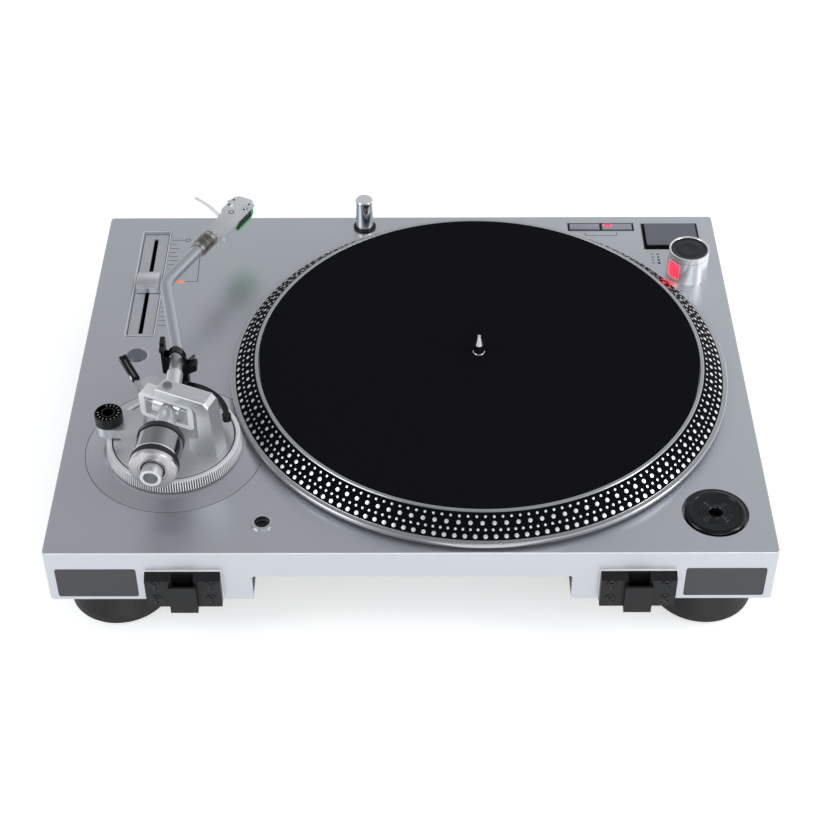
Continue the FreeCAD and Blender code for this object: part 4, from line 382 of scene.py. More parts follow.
class GroupBuilder:
    """Builds one shader node group with named inputs and outputs."""

    def __init__(self, name: str) -> None:
        """Start an empty group with its input and output nodes.

        Args:
            name: The group's name.
        """
        self.tree = bpy.data.node_groups.new(name, "ShaderNodeTree")
        self.entry = self.tree.nodes.new("NodeGroupInput")
        self.exit = self.tree.nodes.new("NodeGroupOutput")

    def socket(self, name: str, kind: str, output: bool = False, value: Optional[float] = None) -> None:
        """Add a socket of the given kind, with a default value where one is given.

        Args:
            name: The socket's name.
            kind: Its type, such as Float or Vector.
            output: Whether the group puts it out.
            value: Its default value.
        """
        made = self.tree.interface.new_socket(
            name=name, in_out="OUTPUT" if output else "INPUT", socket_type=f"NodeSocket{kind}"
        )
        if value is not None:
            made.default_value = value

    def node(self, kind: str, **values: object) -> bpy.types.Node:
        """Add a node, set its properties, and link or set the inputs named in values."""
        return add_node(self.tree, kind, values)


def add_node(tree: bpy.types.NodeTree, kind: str, values: dict[str, object]) -> bpy.types.Node:
    """Add a shader node.

    Args:
        tree: The tree that gets it.
        kind: The node's type without its ShaderNode prefix.
        values: Inputs by their names with _ for a space or by in0, in1 and so on; other
            names are properties. A socket as a value is linked.

    Returns:
        The node.
    """
    node = tree.nodes.new("ShaderNode" + kind)
    inputs: dict[object, object] = {}
    for name, value in values.items():
        label = name.replace("_", " ")
        if name.startswith("in") and name[2:].isdigit():
            inputs[int(name[2:])] = value
        elif label in node.inputs and not hasattr(type(node), name):
            inputs[label] = value
        else:
            setattr(node, name, value)
    for key, value in inputs.items():
        if isinstance(value, bpy.types.NodeSocket):
            tree.links.new(value, node.inputs[key])
        else:
            node.inputs[key].default_value = value
    return node


class SharedGroups:
    """The effects that more than one finish uses, each built once as a node group."""

    def __init__(self) -> None:
        """Build every group."""
        self.grain = self.make_grain()
        self.rings = self.make_rings()
        self.handling = self.make_handling()
        self.brushed = self.make_brushed()

    @staticmethod
    def make_grain() -> bpy.types.NodeTree:
        """Fine paint or moulding grain: a height and a tone that vary from fleck to fleck.

        Returns:
            The group's tree.
        """
        made = GroupBuilder("fine_grain")
        made.socket("Vector", "Vector")
        made.socket("Scale", "Float", value=2500.0)
        made.socket("Height", "Float", output=True)
        made.socket("Tone", "Float", output=True)
        where, scale = made.entry.outputs["Vector"], made.entry.outputs["Scale"]
        fine = made.node("TexNoise", Vector=where, Scale=scale, Detail=3.0, Roughness=0.6)
        fleck = made.node("TexVoronoi", Vector=where, Scale=scale)
        mix = made.node("Math", operation="MULTIPLY_ADD", in0=fleck.outputs["Distance"], in1=0.4,
                        in2=fine.outputs[0])
        tone = made.node("MapRange", Value=mix.outputs[0], From_Min=0.35, From_Max=1.0, To_Min=0.0,
                         To_Max=1.0)
        made.tree.links.new(mix.outputs[0], made.exit.inputs["Height"])
        made.tree.links.new(tone.outputs[0], made.exit.inputs["Tone"])
        return made.tree

    @staticmethod
    def make_rings() -> bpy.types.NodeTree:
        """Turning marks: noise read along the distance from the vector's own z axis.

        Returns:
            The group's tree.
        """
        made = GroupBuilder("turning_marks")
        made.socket("Vector", "Vector")
        made.socket("Scale", "Float", value=4000.0)
        made.socket("Height", "Float", output=True)
        made.socket("Tone", "Float", output=True)
        flat = made.node("VectorMath", operation="MULTIPLY", in0=made.entry.outputs["Vector"],
                         in1=(1.0, 1.0, 0.0))
        reach = made.node("VectorMath", operation="LENGTH", in0=flat.outputs[0])
        split = made.node("SeparateXYZ", Vector=made.entry.outputs["Vector"])
        line = made.node("Math", operation="ADD", in0=reach.outputs["Value"], in1=split.outputs["Z"])
        place = made.node("Math", operation="MULTIPLY", in0=line.outputs[0],
                          in1=made.entry.outputs["Scale"])
        noise = made.node("TexNoise", noise_dimensions="1D", W=place.outputs[0], Scale=1.0, Detail=4.0,
                          Roughness=0.65)
        tone = made.node("MapRange", Value=noise.outputs[0], From_Min=0.3, From_Max=0.7, To_Min=0.0,
                         To_Max=1.0)
        made.tree.links.new(noise.outputs[0], made.exit.inputs["Height"])
        made.tree.links.new(tone.outputs[0], made.exit.inputs["Tone"])
        return made.tree

    @staticmethod
    def make_handling() -> bpy.types.NodeTree:
        """Handling: soft cloudy patches with faint hairline rubs, as a value round one.

        Returns:
            The group's tree.
        """
        made = GroupBuilder("handling")
        made.socket("Vector", "Vector")
        made.socket("Amount", "Float", value=0.15)
        made.socket("Roughness", "Float", value=0.3)
        made.socket("Roughness", "Float", output=True)
        where = made.entry.outputs["Vector"]
        cloud = made.node("TexNoise", Vector=where, Scale=18.0, Detail=3.0, Roughness=0.55)
        turned = made.node("Mapping", Vector=where, Rotation=(0.3, 0.2, 0.8), Scale=(40.0, 1200.0, 400.0))
        rub = made.node("TexNoise", Vector=turned.outputs[0], Scale=1.0, Detail=2.0)
        both = made.node("Math", operation="ADD", in0=cloud.outputs[0], in1=rub.outputs[0])
        level = made.node("Math", operation="SUBTRACT", in0=both.outputs[0], in1=1.0)
        part = made.node("Math", operation="MULTIPLY_ADD", in0=level.outputs[0],
                         in1=made.entry.outputs["Amount"], in2=made.entry.outputs["Roughness"])
        made.tree.links.new(part.outputs[0], made.exit.inputs["Roughness"])
        return made.tree

    @staticmethod
    def make_brushed() -> bpy.types.NodeTree:
        """Straight brush lines: noise drawn out along one direction set by the stretch.

        Returns:
            The group's tree.
        """
        made = GroupBuilder("brush_lines")
        made.socket("Vector", "Vector")
        made.socket("Stretch", "Vector")
        made.socket("Height", "Float", output=True)
        scaled = made.node("VectorMath", operation="MULTIPLY", in0=made.entry.outputs["Vector"],
                           in1=made.entry.outputs["Stretch"])
        noise = made.node("TexNoise", Vector=scaled.outputs[0], Scale=1.0, Detail=3.0, Roughness=0.6)
        made.tree.links.new(noise.outputs[0], made.exit.inputs["Height"])
        return made.tree


class Surface(Enum):
    """Which fine relief a finish has."""

    GRAIN = "grain"
    RINGS = "rings"
    BRUSHED = "brushed"


@dataclass(frozen=True)
class Finish:
    """One finish, as numbers on a Principled shader with relief and handling."""

    name: str
    colour: Colour
    second: Optional[Colour] = None
    metallic: float = 0.0
    roughness: float = 0.4
    vary: float = 0.12
    relief: Surface = Surface.GRAIN
    scale: float = 2500.0
    bump: float = 0.05
    distance: float = 0.00002
    coat: float = 0.0
    coat_roughness: float = 0.1
    # Emission: the lit lamps, and a faint painted glow on the green plastic, which is no lamp.
    glow: Optional[Colour] = None
    glow_strength: float = 0.0
    centre: tuple[float, float, float] = (0.0, 0.0, 0.0)
    stretch: tuple[float, float, float] = (30.0, 3000.0, 3000.0)
    specular: float = 0.5
    # How strongly shade is painted into the piece's grooves.
    groove_shade: float = 0.0

    def build(self, groups: SharedGroups) -> bpy.types.Material:
        """Make the material.

        Args:
            groups: The node groups that finishes share.

        Returns:
            A new material named after the finish.
        """
        made = bpy.data.materials.new("finish_" + self.name)
        made.use_nodes = True
        tree = made.node_tree
        shader = tree.nodes["Principled BSDF"]
        plain = {
            "Metallic": self.metallic, "Coat Weight": self.coat,
            "Coat Roughness": self.coat_roughness, "Specular IOR Level": self.specular,
        }
        for socket, value in plain.items():
            shader.inputs[socket].default_value = value
        where = add_node(tree, "TexCoord", {}).outputs["Object"]
        if self.centre != (0.0, 0.0, 0.0):
            place = tuple(-deck_to_row(np.array(self.centre)))
            where = add_node(tree, "Mapping", {"Vector": where, "Location": place}).outputs[0]
        height, tone = self.relief_sockets(tree, groups, where)
        worn = add_node(tree, "Group", {"node_tree": groups.handling})
        tree.links.new(where, worn.inputs["Vector"])
        worn.inputs["Amount"].default_value = self.vary
        worn.inputs["Roughness"].default_value = self.roughness
        tree.links.new(worn.outputs["Roughness"], shader.inputs["Roughness"])
        second = self.second or tuple(channel * SECOND_TONE for channel in self.colour)
        mix = add_node(tree, "Mix", {"data_type": "RGBA"})
        mix.inputs[MIX_FIRST].default_value = (*second, 1.0)
        mix.inputs[MIX_SECOND].default_value = (*self.colour, 1.0)
        tree.links.new(tone, mix.inputs[MIX_SHARE])
        colour = mix.outputs[MIX_COLOUR]
        if self.groove_shade:
            colour = self.shaded_grooves(tree, colour)
        tree.links.new(colour, shader.inputs["Base Color"])
        if self.bump:
            bump = add_node(tree, "Bump", {"Height": height, "Strength": self.bump,
                                           "Distance": self.distance})
            tree.links.new(bump.outputs[0], shader.inputs["Normal"])
        if self.glow is not None:
            shader.inputs["Emission Color"].default_value = (*self.glow, 1.0)
            shader.inputs["Emission Strength"].default_value = self.glow_strength
        return made

    def shaded_grooves(
        self, tree: bpy.types.NodeTree, colour: bpy.types.NodeSocket
    ) -> bpy.types.NodeSocket:
        """Paint shade into the colour where the piece's own hollow attribute says that a groove is deep.

        Args:
            tree: The material's tree.
            colour: The colour outside the grooves.

        Returns:
            The shaded colour.
        """
        depth = add_node(tree, "Attribute", {"attribute_name": "hollow"})
        share = add_node(tree, "Math", {"operation": "MULTIPLY", "in0": depth.outputs["Fac"],
                                        "in1": self.groove_shade})
        mix = add_node(tree, "Mix", {"data_type": "RGBA"})
        tree.links.new(share.outputs[0], mix.inputs[MIX_SHARE])
        tree.links.new(colour, mix.inputs[MIX_FIRST])
        # Painted shade in the grooves, darkest where the hollow attribute is one.
        mix.inputs[MIX_SECOND].default_value = GROOVE_PAINTED_SHADE
        return mix.outputs[MIX_COLOUR]

    def relief_sockets(
        self, tree: bpy.types.NodeTree, groups: SharedGroups, where: bpy.types.NodeSocket
    ) -> tuple[bpy.types.NodeSocket, bpy.types.NodeSocket]:
        """Return the height and the tone of the finish's relief.

        Args:
            tree: The material's tree.
            groups: The node groups that finishes share.
            where: The coordinates that the relief is read at.

        Returns:
            The relief's height and its tone.
        """
        chosen = {Surface.RINGS: groups.rings, Surface.BRUSHED: groups.brushed}.get(self.relief, groups.grain)
        made = add_node(tree, "Group", {"node_tree": chosen})
        tree.links.new(where, made.inputs["Vector"])
        if self.relief is Surface.BRUSHED:
            made.inputs["Stretch"].default_value = self.stretch
            return made.outputs["Height"], made.outputs["Height"]
        made.inputs["Scale"].default_value = self.scale
        return made.outputs["Height"], made.outputs["Tone"]


PLATTER_CENTRE = (-45.5, 4.9, 0.0)
PIVOT = (151.5, 79.3, 0.0)
WEIGHT_AXIS = (math.sin(math.radians(4.7)), math.cos(math.radians(4.7)), 0.0)

FINISHES = (
    Finish("case_paint", (0.60, 0.622, 0.668), (0.51, 0.53, 0.57), metallic=0.8, roughness=0.33, vary=0.04,
           scale=3000.0, bump=0.14, coat=0.15, coat_roughness=0.25),
    Finish("tray_black", (0.016, 0.0165, 0.018), roughness=0.55, scale=1400.0, bump=0.25, specular=0.35),
    Finish("black_plastic", (0.0055, 0.0058, 0.0066), roughness=0.40, scale=1800.0, bump=0.12, specular=0.3),
    Finish("gloss_black", (0.0035, 0.004, 0.005), roughness=0.14, vary=0.04, scale=900.0, bump=0.02,
           specular=0.35),
    Finish("strobe_black", (0.0035, 0.004, 0.005), roughness=0.5, vary=0.04, scale=900.0, specular=0.02),
    Finish("screw_black", (0.03, 0.03, 0.032), metallic=0.7, roughness=0.36, scale=3000.0),
    Finish("steel", (0.55, 0.56, 0.58), metallic=1.0, roughness=0.28, relief=Surface.BRUSHED),
    Finish("chrome", (0.78, 0.79, 0.82), metallic=1.0, roughness=0.13, vary=0.05, relief=Surface.BRUSHED,
           bump=0.02),
    Finish("tube_satin", (0.46, 0.485, 0.52), metallic=0.75, roughness=0.40, vary=0.05, bump=0.04),
    Finish("aluminium", (0.70, 0.72, 0.745), metallic=0.72, roughness=0.30, vary=0.05, scale=3500.0,
           bump=0.04),
    Finish("knob_metal", (0.84, 0.85, 0.87), metallic=0.7, roughness=0.24, vary=0.05, scale=3500.0,
           bump=0.03),
    # Bright aluminium parts, and also the painted highlights on the slider recess's rim and the case's back
    # edge.
    Finish("bright_aluminium_and_highlight", (0.88, 0.89, 0.905), metallic=0.35, roughness=0.33, vary=0.05, scale=3500.0,
           bump=0.03, groove_shade=0.94),
    Finish("platter_metal", (0.52, 0.535, 0.555), metallic=1.0, roughness=0.24, vary=0.05,
           relief=Surface.RINGS, scale=2200.0, bump=0.02, centre=PLATTER_CENTRE),
    Finish("felt", (0.0066, 0.0068, 0.0088), (0.0036, 0.0036, 0.005), roughness=0.95, vary=0.03,
           scale=1300.0, bump=0.6, distance=0.0002, specular=0.05),
    Finish("rubber", (0.011, 0.011, 0.012), roughness=0.5, scale=1200.0, bump=0.2, specular=0.4),
    Finish("brass", (0.62, 0.46, 0.24), metallic=1.0, roughness=0.25, relief=Surface.RINGS, scale=3000.0),
    Finish("copper", (0.60, 0.30, 0.16), metallic=1.0, roughness=0.32, scale=1500.0),
    Finish("magnet", (0.09, 0.09, 0.10), metallic=0.3, roughness=0.5, scale=1500.0),
    Finish("board", (0.02, 0.16, 0.07), (0.01, 0.09, 0.04), roughness=0.35, scale=350.0, coat=0.5),
    Finish("grey_key", (0.135, 0.148, 0.180), (0.12, 0.13, 0.16), metallic=0.35, roughness=0.34, vary=0.05,
           scale=2600.0, bump=0.05, coat=0.3, coat_roughness=0.2),
    Finish("pale_key", (0.34, 0.355, 0.42), (0.30, 0.31, 0.37), metallic=0.3, roughness=0.32, scale=2600.0,
           coat=0.4, coat_roughness=0.15),
    Finish("red_lamp", (0.65, 0.01, 0.02), (0.5, 0.008, 0.015), roughness=0.2, scale=900.0,
           glow=(1.0, 0.022, 0.05), glow_strength=2.6),
    Finish("amber_lamp", (0.8, 0.10, 0.04), roughness=0.25, scale=900.0, glow=(1.0, 0.16, 0.06),
           glow_strength=0.9),
    # The green plastic is no lamp: its faint glow is painted light.
    Finish("green_plastic", (0.02, 0.42, 0.09), (0.015, 0.34, 0.07), roughness=0.22, scale=900.0, coat=0.4,
           glow=(0.02, 0.55, 0.12), glow_strength=0.12),
    Finish("dark_chrome", (0.30, 0.30, 0.315), metallic=1.0, roughness=0.17, vary=0.05,
           relief=Surface.BRUSHED, bump=0.03),
    Finish("weight_face", (0.60, 0.575, 0.59), metallic=0.95, roughness=0.26, vary=0.08, scale=1800.0,
           bump=0.15),
    Finish("dot_metal", (0.90, 0.91, 0.93), metallic=0.8, roughness=0.3, vary=0.05, scale=2500.0, bump=0.02),
    # Used for the printed marks, and also for the painted shade inside the slider's recess.
    Finish("print_and_shade_black", (0.016, 0.017, 0.021), roughness=0.55, scale=2500.0, specular=0.3),
    Finish("print_white", (0.75, 0.76, 0.78), roughness=0.5, scale=2500.0),
    Finish("grip_black", (0.012, 0.012, 0.013), roughness=0.34, scale=1800.0, bump=0.1, groove_shade=0.9),
    Finish("label_grey", (0.052, 0.053, 0.058), (0.046, 0.047, 0.051), metallic=0.3, roughness=0.42,
           scale=2600.0, bump=0.08),
    Finish("knurl_steel", (0.34, 0.325, 0.315), metallic=0.9, roughness=0.3, scale=2000.0, groove_shade=0.85),
)


class Palette:
    """Every finish as a material, by its name."""

    def __init__(self) -> None:
        """Build all materials."""
        groups = SharedGroups()
        self.made = {finish.name: finish.build(groups) for finish in FINISHES}

    def __getitem__(self, name: str) -> bpy.types.Material:
        """Return one material."""
        return self.made[name]

    def dress_nodes(self, nodes: dict[str, bpy.types.Object], chosen: dict[str, str]) -> None:
        """Give every CAD node the finish of its slot, or the one chosen for it by name.

        Args:
            nodes: The CAD nodes.
            chosen: Finish names for nodes that differ from their slot.
        """
        for name, node in nodes.items():
            for place in node.material_slots:
                slot = place.material.name.split(".")[0]
                place.material = self.made[chosen.get(name, slot)]


@dataclass
class Platter:
    """The platter's glossy strobe band and its four rows of bright dots."""

    outer: tuple[float, float] = (163.0, 6.6)
    inner: tuple[float, float] = (149.2, 17.7)
    edge: float = 0.25
    skin: float = 0.05
    steps: int = 360
    dot_sides: int = 12
    dot_rise: float = 0.16
    rows: tuple[tuple[int, float, float], ...] = (
        (160, 0.150, 1.38), (216, 0.385, 0.86), (133, 0.615, 1.36), (180, 0.840, 0.84),
    )

    def on_slope(self, share: float, lift: float) -> tuple[float, float]:
        """Return the radius and height at a share of the way in, lifted square to the slope.

        Args:
            share: How far in, from 0 to 1.
            lift: How far off the slope, in millimetres.

        Returns:
            The radius and the height.
        """
        run = np.subtract(self.inner, self.outer)
        out = np.array((-run[1], run[0])) / np.linalg.norm(run) * -1
        point = np.add(self.outer, run * share) + out * lift
        return float(point[0]), float(point[1])

    def make_band(self) -> Shape:
        """Turn a thin four-cornered section lying on the slope.

        Returns:
            The shape, in the deck's frame.
        """
        shape = Shape()
        cut = self.edge / float(np.linalg.norm(np.subtract(self.inner, self.outer)))
        corners = [
            self.on_slope(cut, -self.skin), self.on_slope(cut, self.skin),
            self.on_slope(1 - cut, self.skin), self.on_slope(1 - cut, -self.skin),
        ]
        shape.turned(corners, Seat(PLATTER_CENTRE), self.steps)
        return shape

    def make_dots(self) -> Shape:
        """Lay low domes along four circles on the slope.

        A dome is a ring of radius q round its middle, with one point lifted above it and one
        sunk below. Row by row, the middles stand at equal angles.

        Returns:
            The shape, in the deck's frame.
        """
        shape = Shape()
        t = np.linspace(0, 2 * math.pi, self.dot_sides, endpoint=False)
        run = np.subtract(self.inner, self.outer)
        run = run / np.linalg.norm(run)
        for count, share, q in self.rows:
            r, z = self.on_slope(share, self.skin)
            top_r, top_z = self.on_slope(share, self.skin + self.dot_rise)
            low_r, low_z = self.on_slope(share, -self.skin)
            across = np.cos(t) * q
            dr, dz = np.sin(t) * q * run[0], np.sin(t) * q * run[1]
            ring = np.stack((r + dr, across, z + dz), -1)
            local = np.concatenate((ring, [(top_r, 0.0, top_z), (low_r, 0.0, low_z)]))
            angle = np.arange(count) * 2 * math.pi / count
            c, s = np.cos(angle)[:, None], np.sin(angle)[:, None]
            x = local[None, :, 0] * c - local[None, :, 1] * s
            y = local[None, :, 0] * s + local[None, :, 1] * c
            points = np.stack((x, y, np.broadcast_to(local[:, 2], x.shape)), -1) + PLATTER_CENTRE
            i = np.arange(self.dot_sides)
            j = (i + 1) % self.dot_sides
            upper = np.stack((i, j, np.full_like(i, self.dot_sides)), -1)
            lower = np.stack((j, i, np.full_like(i, self.dot_sides + 1)), -1)
            fan = np.concatenate((upper, lower))
            faces = fan[None] + (np.arange(count) * len(local))[:, None, None]
            shape.add(points.reshape(-1, 3), faces.reshape(-1, 3))
        return shape

    def make_body(self) -> Shape:
        """Turn the platter with its lip, its steep band and its low rim.

        Returns:
            The shape, in the deck's frame.
        """
        shape = Shape()
        profile = [(4.1, 3.0), (20.0, 3.0), (20.0, 12.0), (153.5, 12.0), (157.0, 8.0), (157.0, 2.4),
                   (164.2, 2.2), (165.7, 3.2), (166.0, 3.8), (166.0, 5.9), (165.4, 6.5), (163.4, 6.6),
                   self.outer, self.inner, (148.9, 17.95), (147.0, 17.95), (146.6, 17.6), (146.6, 16.0),
                   (4.1, 16.0)]
        shape.turned(profile, Seat(PLATTER_CENTRE), self.steps)
        return shape

    def build(self, palette: Palette) -> None:
        """Make the platter, its band and its dots.

        Args:
            palette: Every finish as a material, by its name.
        """
        finish_piece(self.make_body(), "platter_body", "turning_platter",
                     palette["platter_metal"], ["platter"])
        finish_piece(self.make_band(), "strobe_band", "turning_platter", palette["strobe_black"])
        finish_piece(self.make_dots(), "strobe_dots", "turning_platter", palette["dot_metal"],
                     smooth=60.0)


@dataclass
class Controls:
    """Keys, slider, knob face, lamps and printed marks on the deck."""

    print_rise: float = 0.03
    print_sink: float = 0.05
    scale_count: int = 21
    scale_start: float = -143.4
    scale_step: float = 4.9
    scale_inner: float = 176.0
    scale_reach: tuple[float, float, float] = (9.5, 6.5, 4.5)
    leader: tuple[tuple[float, float], ...] = (
        (162.0, -94.3), (152.9, -94.3), (153.6, -121.7), (153.6, -128.0),
    )
    zero_place: tuple[float, float] = (164.0, -143.4)
    zero_ring: tuple[float, float] = (1.5, 2.0)
    fork: tuple[float, float, float, float] = (-128.6, -151.6, -151.6, 3.6)
    power_first: float = -125.3
    power_step: float = 3.55
    power_bar: tuple[float, float] = (-174.4, -176.6)
    power_dot: float = -179.6
    power_dots: tuple[float, ...] = (0.8, 0.8, 1.0, 1.15)
    start: tuple[float, float, float, float] = (-191.3, -147.0, 38.0, 26.6)
    fast_key: float = -152.5
    light_shift: tuple[float, float] = (6.8, -0.6)
    key_corner: float = 0.5
    slider: tuple[float, float] = (187.6, -92.3)
    recess: tuple[float, float, float, float] = (187.6, -94.3, 20.5, 120.0)
    dial: tuple[float, float] = (-198.0, -103.0)
    range_place: tuple[float, float] = (187.1, -13.4)
    speed_row: float = -158.4
    storage: tuple[float, float] = (91.5, 146.0)
    storage_mouth: float = 6.7
    storage_throat: float = 4.6
    key_foot: float = -4.0
    slider_half: tuple[float, float] = (9.6, 7.9)
    dial_top: float = 21.55

    def strokes(
        self, lines: Sequence[tuple[float, float, float, float]], width: float, height: float = 0.0
    ) -> Shape:
        """Print straight strokes as flat bars from one end to the other, at a height over the deck.

        Args:
            lines: Rows of x, y of the start and x, y of the end.
            width: The bars' width.
            height: How high over the deck they lie.

        Returns:
            The shape, in the deck's frame.
        """
        shape = Shape()
        for x0, y0, x1, y1 in lines:
            run = np.array((x1 - x0, y1 - y0))
            length = float(np.linalg.norm(run))
            seat = Seat(((x0 + x1) / 2, (y0 + y1) / 2, height), across=(run[0], run[1], 0.0))
            layers = [(0, -self.print_sink), (0, self.print_rise)]
            shape.prism(rounded_plan(length, width, width * 0.2, 2), layers, seat)
        return shape

    def tempo_marks(self) -> Shape:
        """Draw the slider's scale, its zero ring and the line that joins its lamp.

        Returns:
            The shape, in the deck's frame.
        """
        lines = []
        fifth, even, odd = self.scale_reach
        for number in range(self.scale_count):
            y = self.scale_start + self.scale_step * number
            reach = fifth if number % 5 == 0 else even if number % 2 == 0 else odd
            lines.append((self.scale_inner, y, self.scale_inner - reach, y))
        lines += [(*start, *end) for start, end in zip(self.leader, self.leader[1:])]
        shape = self.strokes(lines, 0.42)
        inner, outer = self.zero_ring
        ring = [(inner, -self.print_sink), (outer, -self.print_sink), (outer, self.print_rise),
                (inner, self.print_rise)]
        shape.turned(ring, Seat((*self.zero_place, 0.0)), 32)
        return shape

    def speed_marks(self) -> Shape:
        """Draw the bracket under the two speed keys.

        Returns:
            The shape, in the deck's frame.
        """
        x0, x1, y, rise = self.fork
        return self.strokes([(x0, y, x0, y + rise), (x1, y, x1, y + rise), (x0, y + rise, x1, y + rise)], 0.4)

    def power_marks(self) -> Shape:
        """Draw four dots beside the power knob, each with a short bar.

        Returns:
            The shape, in the deck's frame.
        """
        heights = [self.power_first + self.power_step * number for number in range(len(self.power_dots))]
        start, end = self.power_bar
        shape = self.strokes([(start, y, end, y) for y in heights], 0.8)
        low, high = -self.print_sink, self.print_rise
        for y, radius in zip(heights, self.power_dots):
            disc = [(0.0, low), (radius, low), (radius, high), (0.0, high)]
            shape.turned(disc, Seat((self.power_dot, y, 0.0)), 20)
        return shape

    def recess_lines(self, inset: float, width: float, height: float) -> Shape:
        """Draw a frame along the slider's recess, set in from its edge: a bright one on the rim gives a
        painted highlight, and a dark one sunk inside gives painted shade along the walls.

        Args:
            inset: How far in from the edge.
            width: The lines' width.
            height: How high over the deck they lie.

        Returns:
            The shape, in the deck's frame.
        """
        x, y, across, length = self.recess
        left, right = x - across / 2 + inset, x + across / 2 - inset
        front, back = y - length / 2 + inset, y + length / 2 - inset
        sides = [(left, front, left, back), (right, front, right, back), (left, front, right, front),
                 (left, back, right, back)]
        return self.strokes(sides, width, height)

    def range_ring(self) -> Shape:
        """Turn the bright bevelled ring round the range button.

        Returns:
            The shape, in the deck's frame.
        """
        shape = Shape()
        x, y = self.range_place
        profile = [(6.7, -0.6), (8.1, -0.6), (8.1, 0.02), (7.9, 0.12), (6.9, -0.35)]
        shape.turned(profile, Seat((x, y, 0.0)), 96)
        return shape

    def storage_funnel(self) -> Shape:
        """Turn the bright funnel in the mouth of the storage hole.

        Returns:
            The shape, in the deck's frame.
        """
        shape = Shape()
        mouth, throat = self.storage_mouth, self.storage_throat
        profile = [(throat, -2.6), (mouth, -2.6), (mouth, 0.4), (mouth - 0.35, 0.75), (mouth - 0.8, 0.7),
                   (throat, -2.2)]
        shape.turned(profile, Seat((*self.storage, 0.0)), 96)
        return shape

    def storage_well(self) -> Shape:
        """Turn the dark cup under the funnel, open at its top.

        Returns:
            The shape, in the deck's frame.
        """
        shape = Shape()
        outer, inner = self.storage_mouth - 0.5, self.storage_throat
        profile = [(0.0, -3.6), (outer, -3.6), (outer, -2.5), (inner, -2.5), (inner, -3.2), (0.0, -3.2)]
        shape.turned(profile, Seat((*self.storage, 0.0)), 64)
        return shape

    def start_body(self) -> Shape:
        """Stack the start key's black block.

        Returns:
            The shape, in the deck's frame.
        """
        x, y, width, depth = self.start
        shape = Shape()
        layers = [(0.0, self.key_foot), (0.0, 1.3), (0.15, 1.5)]
        shape.prism(rounded_plan(width, depth, 2 * self.key_corner), layers, Seat((x, y, 0.0)))
        return shape

    def start_plate(self) -> Shape:
        """Stack the thin grey plate on the start key.

        Returns:
            The shape, in the deck's frame.
        """
        x, y, width, depth = self.start
        shape = Shape()
        layers = [(0.0, 1.4), (0.0, 1.85), (0.2, 2.05)]
        plan = rounded_plan(width - 0.9, depth - 0.9, 2 * self.key_corner)
        shape.prism(plan, layers, Seat((x, y, 0.0)))
        return shape

    def speed_light(self) -> Shape:
        """Lay the lit patch on the third of the faster speed's key.

        Returns:
            The shape, in the deck's frame.
        """
        shape = Shape()
        x, y = self.fast_key + self.light_shift[0], self.speed_row + self.light_shift[1]
        layers = [(0.0, 0.9), (0.0, 1.06)]
        shape.prism(rounded_plan(5.6, 3.0, 0.5), layers, Seat((x, y, 0.0)))
        return shape

    def slider_cap(self) -> Shape:
        """Carry the cap's side outline straight across: end lips, grooves and a raised middle.

        Returns:
            The shape, in the deck's frame.
        """
        shape = Shape()
        x, y = self.slider
        half_y, half_x = self.slider_half
        base = -1.0
        u = np.linspace(-1, 1, 81)
        lip, rise, groove_at, groove_half, groove_depth = 3.1, 2.2, 0.80, 0.03, 0.8
        top = lip + rise * np.clip(np.cos(u * math.pi / 2 * 1.1), 0, 1) ** 0.8
        top = np.where(np.abs(np.abs(u) - groove_at) < groove_half, top - groove_depth, top)
        outline_y = np.concatenate((u * half_y, [half_y, -half_y]))
        outline_z = np.concatenate((top, [base, base]))
        section = np.stack((outline_y, outline_z), -1)
        path_x = np.array((-half_x, -half_x + 0.35, half_x - 0.35, half_x))
        shrink = np.array((0.975, 1.0, 1.0, 0.975))
        points = np.stack([
            np.column_stack((np.full(len(section), x + px), y + section[:, 0] * k,
                             base + (section[:, 1] - base) * k))
            for px, k in zip(path_x, shrink)
        ])
        start = shape.grid(points, wrap_columns=True)
        shape.cap(start, len(section))
        shape.cap(start + (len(path_x) - 1) * len(section), len(section))
        return shape

    def dial_face(self) -> Shape:
        """Turn the knob's dished black face with a fine groove near its edge.

        Returns:
            The shape, in the deck's frame.
        """
        shape = Shape()
        top = self.dial_top
        profile = [(0.0, top - 0.25), (6.0, top - 0.2), (9.6, top), (10.2, top - 0.12), (10.8, top + 0.02),
                   (13.0, top + 0.05), (13.0, top - 0.5), (0.0, top - 0.5)]
        shape.turned(profile, Seat((*self.dial, 0.0)), 96)
        return shape

    def build(self, palette: Palette) -> None:
        """Make the pieces on the deck.

        Args:
            palette: Every finish as a material, by its name.
        """
        finish_piece(self.start_body(), "start_block", "start_key", palette["black_plastic"],
                     ["start_button"])
        finish_piece(self.start_plate(), "start_plate", "start_key", palette["grey_key"])
        finish_piece(self.speed_light(), "speed_light", "key_45", palette["red_lamp"])
        # The bright frame on the recess's rim is a painted highlight, and the dark frame sunk inside it is
        # painted shade along its walls.
        finish_piece(self.recess_lines(0.2, 0.7, 0.02), "recess_rim_highlight", "case",
                     palette["bright_aluminium_and_highlight"])
        finish_piece(self.recess_lines(1.25, 0.4, -1.46), "recess_shade", "case",
                     palette["print_and_shade_black"])
        finish_piece(self.storage_funnel(), "storage_funnel", "case", palette["chrome"])
        finish_piece(self.storage_well(), "storage_well", "case", palette["black_plastic"])
        finish_piece(self.range_ring(), "range_ring", "case", palette["knob_metal"])
        finish_piece(self.tempo_marks(), "tempo_marks", "case", palette["print_and_shade_black"])
        finish_piece(self.speed_marks(), "speed_marks", "case", palette["print_and_shade_black"])
        finish_piece(self.power_marks(), "power_marks", "case", palette["print_and_shade_black"])
        finish_piece(self.dial_face(), "dial_face", "dial", palette["gloss_black"])
        finish_piece(self.slider_cap(), "slider_cap", "tempo_fader",
                     palette["aluminium"], ["tempo_slider"])


